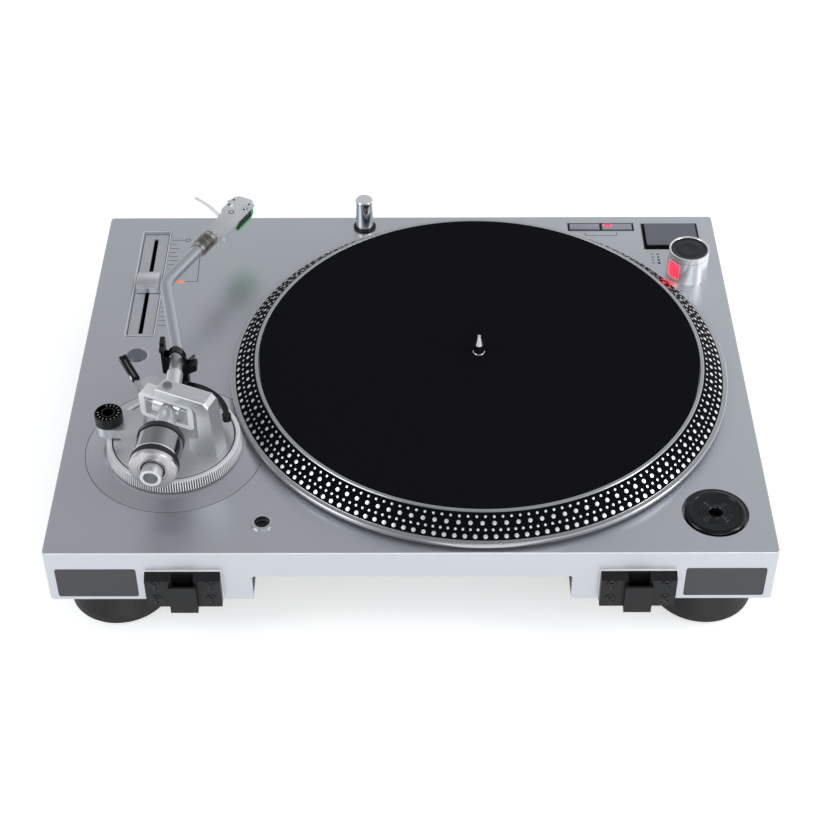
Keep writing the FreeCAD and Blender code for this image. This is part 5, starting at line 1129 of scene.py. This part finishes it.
@dataclass
class ArmBase:
    """The ribbed height ring, and the side dial with the short lines printed on it."""

    ring_ribs: int = 168
    rib_depth: float = 1.1
    knob: tuple[float, float] = (192.8, 72.2)
    knob_low: float = 18.8
    knob_top: float = 25.4
    knob_ribs: int = 48
    mark_count: int = 14
    mark_step: float = 22.0
    mark_ring: float = 6.6

    def height_ring(self) -> Shape:
        """Turn the ring's section, with its outer wall cut into upright ribs.

        Returns:
            The shape, in the deck's frame.
        """
        shape = Shape()
        profile = [(39.4, 3.0), (43.3, 3.0), (43.5, 3.4), (43.3, 4.2), (42.9, 9.6), (42.2, 10.6),
                   (41.5, 11.0), (39.8, 11.0), (39.4, 10.7)]
        steps = self.ring_ribs * 8

        def cut(radius: Array, angle: Array) -> Array:
            """Cut a flat-bottomed groove between every two ribs of the outer wall."""
            wave = np.clip(0.45 - 1.1 * np.cos(self.ring_ribs * angle), 0, 1)
            return np.where(radius > 42.5, -self.rib_depth * wave, 0.0)

        shape.turned(profile, Seat(PIVOT), steps, cut)
        return shape

    def skate_dial(self) -> Shape:
        """Turn the side dial, ribbed on its wall and dished on top.

        Returns:
            The shape, in the deck's frame.
        """
        shape = Shape()
        low, high = self.knob_low, self.knob_top
        profile = [(0.0, low), (8.6, low), (9.0, low + 0.4), (9.0, high - 0.9), (8.5, high - 0.2),
                   (8.0, high), (4.6, high), (4.3, high - 0.2), (3.9, high - 0.2), (3.6, high),
                   (0.0, high)]
        shape.turned(profile, Seat((*self.knob, 0.0)), self.knob_ribs * RIB_STEPS,
                     ridges(self.knob_ribs, 0.35, 8.9))
        return shape

    def skate_marks(self) -> Shape:
        """Print short lines round the side dial's top.

        Returns:
            The shape, in the deck's frame.
        """
        shape = Shape()
        for angle in np.radians(np.arange(self.mark_count) * self.mark_step):
            ray = np.array((math.cos(angle), math.sin(angle)))
            place = np.array(self.knob) + ray * self.mark_ring
            seat = Seat((place[0], place[1], 0.0), across=(ray[0], ray[1], 0.0))
            layers = [(0, self.knob_top - 0.1), (0, self.knob_top + 0.03)]
            shape.prism(rounded_plan(1.2, 0.34, 0.1, 2), layers, seat)
        return shape

    def build(self, palette: Palette) -> None:
        """Make the arm base's pieces.

        Args:
            palette: Every finish as a material, by its name.
        """
        finish_piece(self.skate_marks(), "skate_marks", "skate_dial", palette["print_white"])
        finish_piece(self.height_ring(), "height_ring_ribs", "arm_height_ring",
                     palette["bright_aluminium_and_highlight"], ["height_ring"])
        finish_piece(self.skate_dial(), "skate_dial_cap", "skate_dial", palette["grip_black"])


@dataclass
class Head:
    """The arm's outer end: knurled nut, bevelled headshell and the curved finger lift.

    Its pieces are worked out along the head's own line: u along it, v to its left, w up.
    """

    elbow: tuple[float, float, float] = (167.4, -45.8, 36.8)
    ahead: tuple[float, float, float] = (-0.4540, -0.8910, 0.0)
    leftward: tuple[float, float, float] = (0.891, -0.454, 0.0)
    start: float = 59.0
    nut_ribs: int = 44
    slot_place: tuple[float, float] = (38.5, 6.3)
    hole_place: float = 28.0
    finger_root: tuple[float, float, float] = (22.5, 4.5, 0.2)
    finger_run: tuple[float, float, float] = (1.5, 22.8, 9.3)
    plate: tuple[tuple[float, float, float, float], ...] = (
        (0.0, -5.6, 0.0, -3.4), (4.0, -9.2, 3.0, -5.0), (26.0, -9.2, 25.0, -5.4), (44.6, -9.2, 44.0, -7.6),
        (48.6, -5.6, 47.8, -5.2), (48.6, 5.6, 47.8, 5.2), (44.6, 9.2, 44.0, 8.4), (28.0, 9.2, 28.4, 8.4),
        (24.0, 6.4, 24.4, 5.8), (0.0, 5.6, 0.0, 5.0),
    )

    def line_seat(self) -> Seat:
        """Return the seat whose z runs along the head, and whose x points up."""
        return Seat(self.elbow, self.ahead, (0.0, 0.0, 1.0))

    def flat_seat(self) -> Seat:
        """Return the seat whose x runs along the head, and whose z points up."""
        return Seat(self.elbow, (0.0, 0.0, 1.0), self.ahead)

    def nut(self) -> Shape:
        """Turn the nut with two knurled bands between plain steps.

        Returns:
            The shape, in the deck's frame.
        """
        shape = Shape()
        profile = [(4.3, 41.6), (5.3, 41.6), (5.7, 42.1), (5.7, 43.0), (5.3, 43.2), (5.3, 43.8), (6.0, 44.1),
                   (6.0, 48.6), (5.5, 48.9), (5.5, 49.5), (6.0, 49.8), (6.0, 54.2), (5.4, 54.6), (5.4, 55.4),
                   (5.9, 55.8), (5.9, 58.3), (5.5, 58.6), (4.3, 58.6)]
        shape.turned(profile, self.line_seat(), self.nut_ribs * RIB_STEPS,
                     ridges(self.nut_ribs, 0.45, 5.97))
        return shape

    def shell(self) -> Shape:
        """Stack the plate with its wide bevel, and add its flange, root block and neck.

        Returns:
            The shape, in the deck's frame.
        """
        shape = Shape()
        plan = np.array(self.plate)
        foot, top = plan[:, :2] + (self.start, 0.0), plan[:, 2:] + (self.start, 0.0)
        levels = [(foot, 0.7), (foot, 1.5), (top, 2.95), (top + (top - top.mean(0)) * -0.03, 3.1)]
        shape.stacked(np.stack([at_height(ring, z) for ring, z in levels]), self.flat_seat())
        flange = np.array(((4.0, -9.2), (24.0, -9.2), (24.0, -7.6), (4.0, -7.6))) + (self.start, 0.0)
        slope = np.array(((4.0, -9.2), (12.0, -9.2), (12.0, -7.6), (4.0, -7.6))) + (self.start, 0.0)
        shape.stacked(np.stack([at_height(slope, -4.3), at_height(flange, 0.8)]), self.flat_seat())
        block = np.array(((0.0, -4.8), (5.0, -4.8), (5.0, 4.8), (0.0, 4.8))) + (self.start, 0.0)
        shape.slab(block, -4.3, 0.8, self.flat_seat())
        shape.turned([(0.0, 58.4), (4.2, 58.4), (4.2, 61.0), (0.0, 61.0)], self.line_seat(), 48)
        return shape

    def shell_slots(self) -> Shape:
        """Lay the two dark adjusting slots and the ring of the round hole on the plate.

        Returns:
            The shape, in the deck's frame.
        """
        shape = Shape()
        for side in (-1, 1):
            x, y = self.start + self.slot_place[0], side * self.slot_place[1]
            place = np.array(self.elbow) + np.array(self.ahead) * x + np.array(self.leftward) * y
            seat = Seat((place[0], place[1], self.elbow[2]), across=self.ahead)
            shape.prism(rounded_plan(8.5, 1.5, 0.7), [(0.0, 3.0), (0.0, 3.14)], seat)
        place = np.array(self.elbow) + np.array(self.ahead) * (self.start + self.hole_place)
        ring = [(1.5, 3.0), (2.1, 3.0), (2.1, 3.15), (1.5, 3.15)]
        shape.turned(ring, Seat((place[0], place[1], self.elbow[2])), 32)
        return shape

    def finger(self) -> Shape:
        """Sweep a thin strip out from the plate, up along t + 0.18 sin(pi t).

        Returns:
            The shape, in the deck's frame.
        """
        shape = Shape()
        t = np.linspace(0, 1, 24)
        u, v, w = self.finger_root
        du, dv, dw = self.finger_run
        local = np.stack((np.full_like(t, self.start + u) + du * t, v + dv * t,
                          w + dw * (t + 0.18 * np.sin(math.pi * t))), -1)
        section = rounded_plan(3.3, 1.0, 0.35, 3)
        sides = np.tile(np.array(self.ahead), (len(t), 1))
        shape.swept(self.flat_seat().carry(local), section, sides, 1.0 - 0.25 * t)
        return shape

    def build(self, palette: Palette) -> None:
        """Make the head's pieces.

        Args:
            palette: Every finish as a material, by its name.
        """
        finish_piece(self.nut(), "nut_knurls", "nut", palette["knurl_steel"], ["collar_nut"])
        finish_piece(self.shell(), "shell_plate", "tonearm", palette["aluminium"],
                     ["headshell"], smooth=20.0)
        finish_piece(self.shell_slots(), "shell_slots", "tonearm", palette["black_plastic"])
        finish_piece(self.finger(), "finger_strip", "tonearm", palette["bright_aluminium_and_highlight"],
                     ["finger_lift"])


@dataclass
class ArmFittings:
    """The lift's lever, the keeper over the arm and the loose adapter's rings."""

    lever: tuple[float, float, float] = (167.0, 49.5, 27.0)
    bearing: float = 304.4
    tilt: float = 20.0
    keeper: tuple[float, float, float] = (151.5, 36.2, 36.8)
    bow_outer: tuple[float, float] = (6.7, 11.3)
    bow_inner: tuple[float, float] = (5.0, 9.9)
    adapter: tuple[float, float, float] = (-188.8, 137.7, 0.0)

    def lever_seat(self) -> Seat:
        """Return the seat whose x runs along the lever, and whose z lies across it.

        Returns:
            The seat.
        """
        turn, rise = math.radians(self.bearing), math.radians(self.tilt)
        along = (math.cos(turn) * math.cos(rise), math.sin(turn) * math.cos(rise), math.sin(rise))
        return Seat(self.lever, (-math.sin(turn), math.cos(turn), 0.0), along)

    def lever_handle(self) -> Shape:
        """Carry two narrow bars along the lever, joined at both ends.

        Returns:
            The shape, in the deck's frame.
        """
        shape = Shape()
        for low, high in ((4.2, 6.1), (7.3, 9.2)):
            shape.slab(np.array(((9.0, -1.6), (28.4, -1.8), (28.0, 1.6), (8.6, 1.2))), low, high,
                       self.lever_seat())
        near = ((8.4, -1.0), (11.0, -1.0), (11.0, 0.6), (8.4, 0.6))
        far = ((26.4, -1.4), (28.2, -1.4), (28.0, 0.9), (26.4, 0.9))
        for end in (near, far):
            shape.slab(np.array(end), 4.6, 8.8, self.lever_seat())
        return shape

    def lever_stem(self) -> Shape:
        """Turn the hub and its pin, and carry the thin stem and its hook from them.

        Returns:
            The shape, in the deck's frame.
        """
        shape = Shape()
        seat = self.lever_seat()
        shape.turned([(0.0, 1.3), (1.5, 1.3), (1.5, 6.8), (3.4, 6.8), (3.4, 9.2), (0.0, 9.2)], seat, 48)
        shape.slab(np.array(((2.6, -0.9), (9.6, -0.9), (9.6, 0.9), (2.6, 0.9))), 6.9, 8.7, seat)
        t = np.linspace(0, math.pi, 12)
        hook = np.stack((11.0 - 1.8 * np.cos(t), -0.4 - 2.4 * np.sin(t), np.full_like(t, 9.9)), -1)
        shape.swept(seat.carry(hook), rounded_plan(0.9, 0.9, 0.4, 3), np.tile(seat.axis, (len(t), 1)))
        return shape

    def keeper_strap(self) -> Shape:
        """Carry the keeper's outline along the arm: a bow over the tube, a horn and a hinged tab.

        The bow's points are the tube's middle plus (r cos t, r h sin t), where h draws the upper
        half out, so that the arm can lift inside it.

        Returns:
            The shape, in the deck's frame.
        """
        shape = Shape()
        t = np.linspace(math.radians(28), math.radians(190), 20)
        bow = np.stack((np.cos(t), np.sin(t)), -1)
        outline = np.concatenate((
            [(7.6, 8.9), (10.2, 9.6), (10.2, 11.9), (7.2, 11.9)],
            np.where(bow > 0, bow * self.bow_outer, bow * self.bow_outer[0]),
            [(-8.4, 1.6), (-11.4, 4.6), (-12.2, 3.6), (-9.0, -1.8), (-5.0, -1.6)],
            np.where(bow > 0, bow * self.bow_inner, bow * self.bow_inner[0])[::-1],
        ))
        seat = Seat(self.keeper, (0.0, 1.0, 0.0), (1.0, 0.0, 0.0))
        outline[:, 1] *= -1
        shape.slab(outline, -2.4, 2.6, seat)
        return shape

    def adapter_rings(self) -> Shape:
        """Turn the adapter with a raised border and three fine steps round its hole.

        Returns:
            The shape, in the deck's frame.
        """
        shape = Shape()
        profile = [(3.7, -7.0), (19.0, -7.0), (19.0, 0.0), (18.4, 0.75), (17.4, 1.2), (16.4, 1.3),
                   (15.9, 1.25), (15.5, 0.8), (10.4, 0.7), (10.1, 0.95), (9.6, 0.95), (9.3, 0.7),
                   (8.2, 0.7), (7.9, 1.0), (7.4, 1.0), (7.1, 0.75), (6.2, 0.75), (5.9, 1.1), (4.6, 1.2),
                   (3.9, 0.6), (3.7, 0.2)]
        shape.turned(profile, Seat(self.adapter), 128)
        return shape

    def build(self, palette: Palette) -> None:
        """Make the fittings.

        Args:
            palette: Every finish as a material, by its name.
        """
        finish_piece(self.lever_handle(), "lever_handle", "lift_handle", palette["gloss_black"],
                     ["cue_lever"])
        finish_piece(self.lever_stem(), "lever_stem", "lift_handle", palette["chrome"])
        finish_piece(self.keeper_strap(), "keeper_strap", "keeper", palette["gloss_black"],
                     ["rest_clip"])
        finish_piece(self.adapter_rings(), "adapter_rings", "loose_adapter",
                     palette["gloss_black"], ["adapter_45"])


@dataclass
class Counterweight:
    """The weight on the arm's tail: dark body, bright line, ribbed grip and brushed face."""

    pivot_height: float = 36.5
    front: float = 33.0
    back: float = 57.7
    radius: float = 14.4
    grip_radius: float = 15.3
    grip_length: float = 8.0
    grip_ribs: int = 90
    face_depth: float = 3.2
    bore: float = 7.75

    def seat(self) -> Seat:
        """Return the tail's axis through the pivot."""
        return Seat((PIVOT[0], PIVOT[1], self.pivot_height), WEIGHT_AXIS, (0.0, 0.0, 1.0))

    def body(self) -> Shape:
        """Turn the dark body with eased corners.

        Returns:
            The shape, in the deck's frame.
        """
        shape = Shape()
        end = self.back - self.grip_length
        ease = 0.5
        profile = [(self.bore, self.front), (self.radius - ease, self.front),
                   (self.radius, self.front + ease), (self.radius, end - 1.0),
                   (self.radius - 0.3, end - 0.8), (self.radius - 0.3, end), (self.bore, end)]
        shape.turned(profile, self.seat(), 128)
        return shape

    def line(self) -> Shape:
        """Turn the thin bright ring in front of the grip.

        Returns:
            The shape, in the deck's frame.
        """
        shape = Shape()
        end = self.back - self.grip_length
        outer = self.grip_radius
        profile = [(13.0, end - 0.7), (outer - 0.2, end - 0.7), (outer - 0.1, end - 0.3),
                   (outer - 0.2, end + 0.3), (13.0, end + 0.3)]
        shape.turned(profile, self.seat(), 128)
        return shape

    def grip(self) -> Shape:
        """Turn the black grip with its fine ribs.

        Returns:
            The shape, in the deck's frame.
        """
        shape = Shape()
        low, high = self.back - self.grip_length + 0.3, self.back - self.face_depth
        shape.turned([(12.0, low), (self.grip_radius - 0.4, low), (self.grip_radius, low + 0.3),
                      (self.grip_radius, high - 0.3), (self.grip_radius - 0.4, high), (12.0, high)],
                     self.seat(), self.grip_ribs * RIB_STEPS,
                     ridges(self.grip_ribs, 0.4, self.grip_radius - 0.05))
        return shape

    def face(self) -> Shape:
        """Turn the brushed rear face with its dark groove round the tail.

        Returns:
            The shape, in the deck's frame.
        """
        shape = Shape()
        low, high = self.back - self.face_depth, self.back
        outer = self.grip_radius - 0.25
        shape.turned([(self.bore, low), (outer, low), (outer, high - 0.8), (outer - 0.8, high), (9.4, high),
                      (9.2, high - 0.7), (8.4, high - 0.7), (8.2, high), (self.bore, high)], self.seat(), 128)
        return shape

    def build(self, palette: Palette) -> None:
        """Make the weight's pieces.

        Args:
            palette: Every finish as a material, by its name.
        """
        finish_piece(self.body(), "weight_body", "weight", palette["dark_chrome"],
                     ["counterweight"])
        finish_piece(self.line(), "weight_line", "weight", palette["chrome"])
        finish_piece(self.grip(), "weight_grip", "weight", palette["grip_black"])
        finish_piece(self.face(), "weight_face", "weight", palette["weight_face"])


@dataclass
class Rear:
    """The bare plates on the back, the brackets' screws and borders, and the case's rounded back edge, whose
    highlight is partly real and partly painted.
    """

    bracket_middle: float = 139.75
    bracket_size: tuple[float, float, float] = (47.7, 27.8, -28.65)
    screw_places: tuple[tuple[float, float], ...] = (
        (-16.8, -22.4), (-16.8, -34.9), (16.8, -22.4), (16.8, -34.9),
    )
    bracket_proud: float = 5.5
    edge_radius: float = 0.36
    edge_half: float = 221.5
    face: float = 171.5
    thickness: float = 0.25
    plates: tuple[tuple[float, float, float, float], ...] = (
        (193.2, -26.2, 49.7, 24.3), (-193.3, -26.0, 49.5, 24.3),
    )

    def screws(self, middle: float) -> Shape:
        """Turn four sunk screws, each with a raised border and a stud in its cup.

        Args:
            middle: The bracket's middle along x.

        Returns:
            The shape, in the deck's frame.
        """
        shape = Shape()
        profile = [(0.0, -0.2), (3.3, -0.2), (3.3, 0.3), (3.0, 0.5), (2.7, 0.3), (2.5, 0.06), (1.5, 0.06),
                   (1.3, 0.55), (0.9, 0.55), (0.7, 0.25), (0.0, 0.25)]
        for x, z in self.screw_places:
            place = (middle + x, self.face + self.bracket_proud, z)
            shape.turned(profile, Seat(place, (0.0, 1.0, 0.0), (-1.0, 0.0, 0.0)), 36)
        return shape

    def border(self, middle: float) -> Shape:
        """Stack the thin bright border that shows round a bracket.

        Args:
            middle: The bracket's middle along x.

        Returns:
            The shape, in the deck's frame.
        """
        shape = Shape()
        width, height, z = self.bracket_size
        seat = Seat((middle, self.face, z), (0.0, 1.0, 0.0), (-1.0, 0.0, 0.0))
        shape.prism(rounded_plan(width, height, 1.0), [(0, -0.1), (0, 0.4), (0.1, 0.5)], seat)
        return shape

    def edge(self) -> Shape:
        """Carry a fine round bead along the case's upper back edge; its rounding catches a real highlight,
        and its finish, brighter than the case paint, adds a painted one.

        Returns:
            The shape, in the deck's frame.
        """
        shape = Shape()
        t = np.linspace(0, 2 * math.pi, 12, endpoint=False)
        ring = np.stack((np.cos(t), np.sin(t)), -1) * self.edge_radius
        seat = Seat((0.0, self.face - 0.2, -0.2), (1.0, 0.0, 0.0), (0.0, 1.0, 0.0))
        shape.slab(ring, -self.edge_half, self.edge_half, seat)
        return shape

    def build(self, palette: Palette) -> None:
        """Make the pieces on the back.

        Args:
            palette: Every finish as a material, by its name.
        """
        # The bead's bright finish is a painted highlight on the case's rounded edge.
        finish_piece(self.edge(), "case_edge", "case", palette["bright_aluminium_and_highlight"])
        for side, name in ((-1, "left"), (1, "right")):
            middle = side * self.bracket_middle
            finish_piece(self.screws(middle), f"bracket_screws_{name}", "case",
                         palette["gloss_black"])
            finish_piece(self.border(middle), f"bracket_border_{name}", "case",
                         palette["bright_aluminium_and_highlight"])
        for name, (x, z, width, height) in zip(("plate_arm_side", "plate_key_side"), self.plates):
            shape = Shape()
            seat = Seat((x, self.face, z), (0.0, 1.0, 0.0), (-1.0, 0.0, 0.0))
            layers = [(0, -0.1), (0, self.thickness - 0.08), (0.08, self.thickness)]
            shape.prism(rounded_plan(width, height, 1.6), layers, seat)
            finish_piece(shape, name, "case", palette["label_grey"])


Lamp = tuple[str, tuple[float, float, float], tuple[float, float, float], float, float, float]


@dataclass
class Studio:
    """Floor, soft lights and the camera at the photograph's angle."""

    camera_place: tuple[float, float, float] = (-4.25, 912.99, 792.12)
    elevation: float = 42.21
    yaw: float = 0.37
    roll: float = -0.38
    focal_pixels: float = 1786.3
    picture: float = 820.0
    principal: tuple[float, float] = (408.6, 406.9)
    sensor: float = 36.0
    side_sky: tuple[float, float, float, float] = (-0.32, 0.32, 0.62, 0.38)
    high_sky: tuple[float, float, float, float] = (0.52, 0.80, 1.65, 0.66)
    floor_glow: float = 0.5
    lights: tuple[Lamp, ...] = (
        ("arm_side", (1.3, 0.5, 1.3), (0.0, 0.0, 0.0), 0.9, 0.9, 6.0),
        ("near_fill", (-0.35, 2.0, 0.9), (0.0, 0.0, 0.05), 1.5, 0.8, 13.0),
        ("key_side_strip", (-1.3, 0.35, 0.75), (0.0, 0.0, 0.08), 0.3, 1.2, 5.0),
    )

    def build_camera(self) -> None:
        """Place the camera and make it the scene's own."""
        e, yaw, roll = (math.radians(angle) for angle in (self.elevation, self.yaw, self.roll))
        ahead = np.array((math.sin(yaw) * math.cos(e), -math.cos(yaw) * math.cos(e), -math.sin(e)))
        right = np.cross(ahead, (0, 0, 1.0))
        right /= np.linalg.norm(right)
        up = np.cross(right, ahead)
        right, up = right * math.cos(roll) + up * math.sin(roll), up * math.cos(roll) - right * math.sin(roll)
        data = bpy.data.cameras.new("camera")
        data.sensor_width = self.sensor
        data.lens = self.focal_pixels / self.picture * self.sensor
        data.shift_x = (self.picture / 2 - self.principal[0]) / self.picture
        data.shift_y = (self.principal[1] - self.picture / 2) / self.picture
        data.clip_start, data.clip_end = 0.05, 20.0
        camera = bpy.data.objects.new("camera", data)
        bpy.context.scene.collection.objects.link(camera)
        turn = Matrix((right, up, -ahead)).transposed().to_4x4()
        turn.translation = Vector(deck_to_row(np.array(self.camera_place)))
        camera.matrix_world = turn
        bpy.context.scene.camera = camera

    def build_lights(self) -> None:
        """Hang the soft lights."""
        for name, place, target, width, height, power in self.lights:
            data = bpy.data.lights.new(name, "AREA")
            data.shape = "RECTANGLE"
            data.size, data.size_y, data.energy = width, height, power
            lamp = bpy.data.objects.new(name, data)
            bpy.context.scene.collection.objects.link(lamp)
            lamp.location = place
            lamp.rotation_euler = (Vector(target) - Vector(place)).to_track_quat("-Z", "Y").to_euler()

    def build_world(self) -> None:
        """Light evenly from all round, white to the camera and greyer in reflections."""
        world = bpy.data.worlds.new("studio")
        bpy.context.scene.world = world
        world.use_nodes = True
        tree = world.node_tree
        back = tree.nodes["Background"]
        path = add_node(tree, "LightPath", {})
        place = add_node(tree, "TexCoord", {}).outputs["Generated"]
        split = add_node(tree, "SeparateXYZ", {"Vector": place})
        ends = ("From_Min", "From_Max", "To_Min", "To_Max")
        side = add_node(tree, "MapRange", {"Value": split.outputs["X"], **dict(zip(ends, self.side_sky))})
        fall = add_node(tree, "MapRange", {"Value": split.outputs["Z"], **dict(zip(ends, self.high_sky))})
        ramp = add_node(tree, "Math", {"operation": "MULTIPLY", "in0": side.outputs[0],
                                       "in1": fall.outputs[0]})
        strength = add_node(tree, "Mix", {"data_type": "FLOAT", "in0": path.outputs["Is Camera Ray"],
                                          "in2": ramp.outputs[0], "in3": 1.0})
        back.inputs["Color"].default_value = (0.96, 0.98, 1.0, 1.0)
        tree.links.new(strength.outputs[0], back.inputs["Strength"])

    def build_floor(self, size: float = 8.0) -> None:
        """Lay the white floor, which shows white to the camera but keeps the shadow.

        Args:
            size: The floor's width in metres.
        """
        made = bpy.data.materials.new("floor_white")
        made.use_nodes = True
        tree = made.node_tree
        shader = tree.nodes["Principled BSDF"]
        shader.inputs["Base Color"].default_value = (0.86, 0.87, 0.88, 1.0)
        shader.inputs["Roughness"].default_value = 0.9
        path = add_node(tree, "LightPath", {})
        seen = add_node(tree, "Math", {"operation": "MAXIMUM", "in0": path.outputs["Is Camera Ray"],
                                       "in1": path.outputs["Is Glossy Ray"]})
        seen = add_node(tree, "Math", {"operation": "MAXIMUM", "in0": seen.outputs[0],
                                       "in1": path.outputs["Is Transmission Ray"]})
        lift = add_node(tree, "Math", {"operation": "MULTIPLY", "in0": seen.outputs[0],
                                      "in1": self.floor_glow})
        shader.inputs["Emission Color"].default_value = (1.0, 1.0, 1.0, 1.0)
        tree.links.new(lift.outputs[0], shader.inputs["Emission Strength"])
        mesh = bpy.data.meshes.new("floor")
        corner = size / 2
        corners = [(-corner, -corner, 0), (corner, -corner, 0), (corner, corner, 0), (-corner, corner, 0)]
        mesh.from_pydata(corners, [], [(0, 1, 2, 3)])
        mesh.materials.append(made)
        floor = bpy.data.objects.new("floor", mesh)
        bpy.context.scene.collection.objects.link(floor)

    def build(self) -> None:
        """Set up everything that isn't part of the object."""
        bpy.context.scene.view_settings.view_transform = "Standard"
        self.build_world()
        self.build_floor()
        self.build_lights()
        self.build_camera()


NODE_FINISH = {
    "arm_tube": "tube_satin",
    "gimbal_ring": "bright_aluminium_and_highlight",
    "arm_yoke": "aluminium",
    "button_33": "pale_key",
    "button_45": "pale_key",
    "tempo_lamp": "amber_lamp",
    "arm_base_plate": "case_paint",
    "arm_hub": "aluminium",
    "pivot_screws": "dark_chrome",
    "power_dial": "knob_metal",
    "strobe_tower": "knob_metal",
    "lifter_bar": "gloss_black",
    "force_dial": "grip_black",
}


def main() -> None:
    """Dress the CAD nodes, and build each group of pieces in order."""
    palette = Palette()
    palette.dress_nodes(frame["nodes"], NODE_FINISH)
    for part in (Platter(), Controls(), ArmBase(), Head(), ArmFittings(), Counterweight(), Rear()):
        part.build(palette)
        LOG.info("built %s", type(part).__name__)
    Studio().build()


if __name__ == "__main__":
    main()
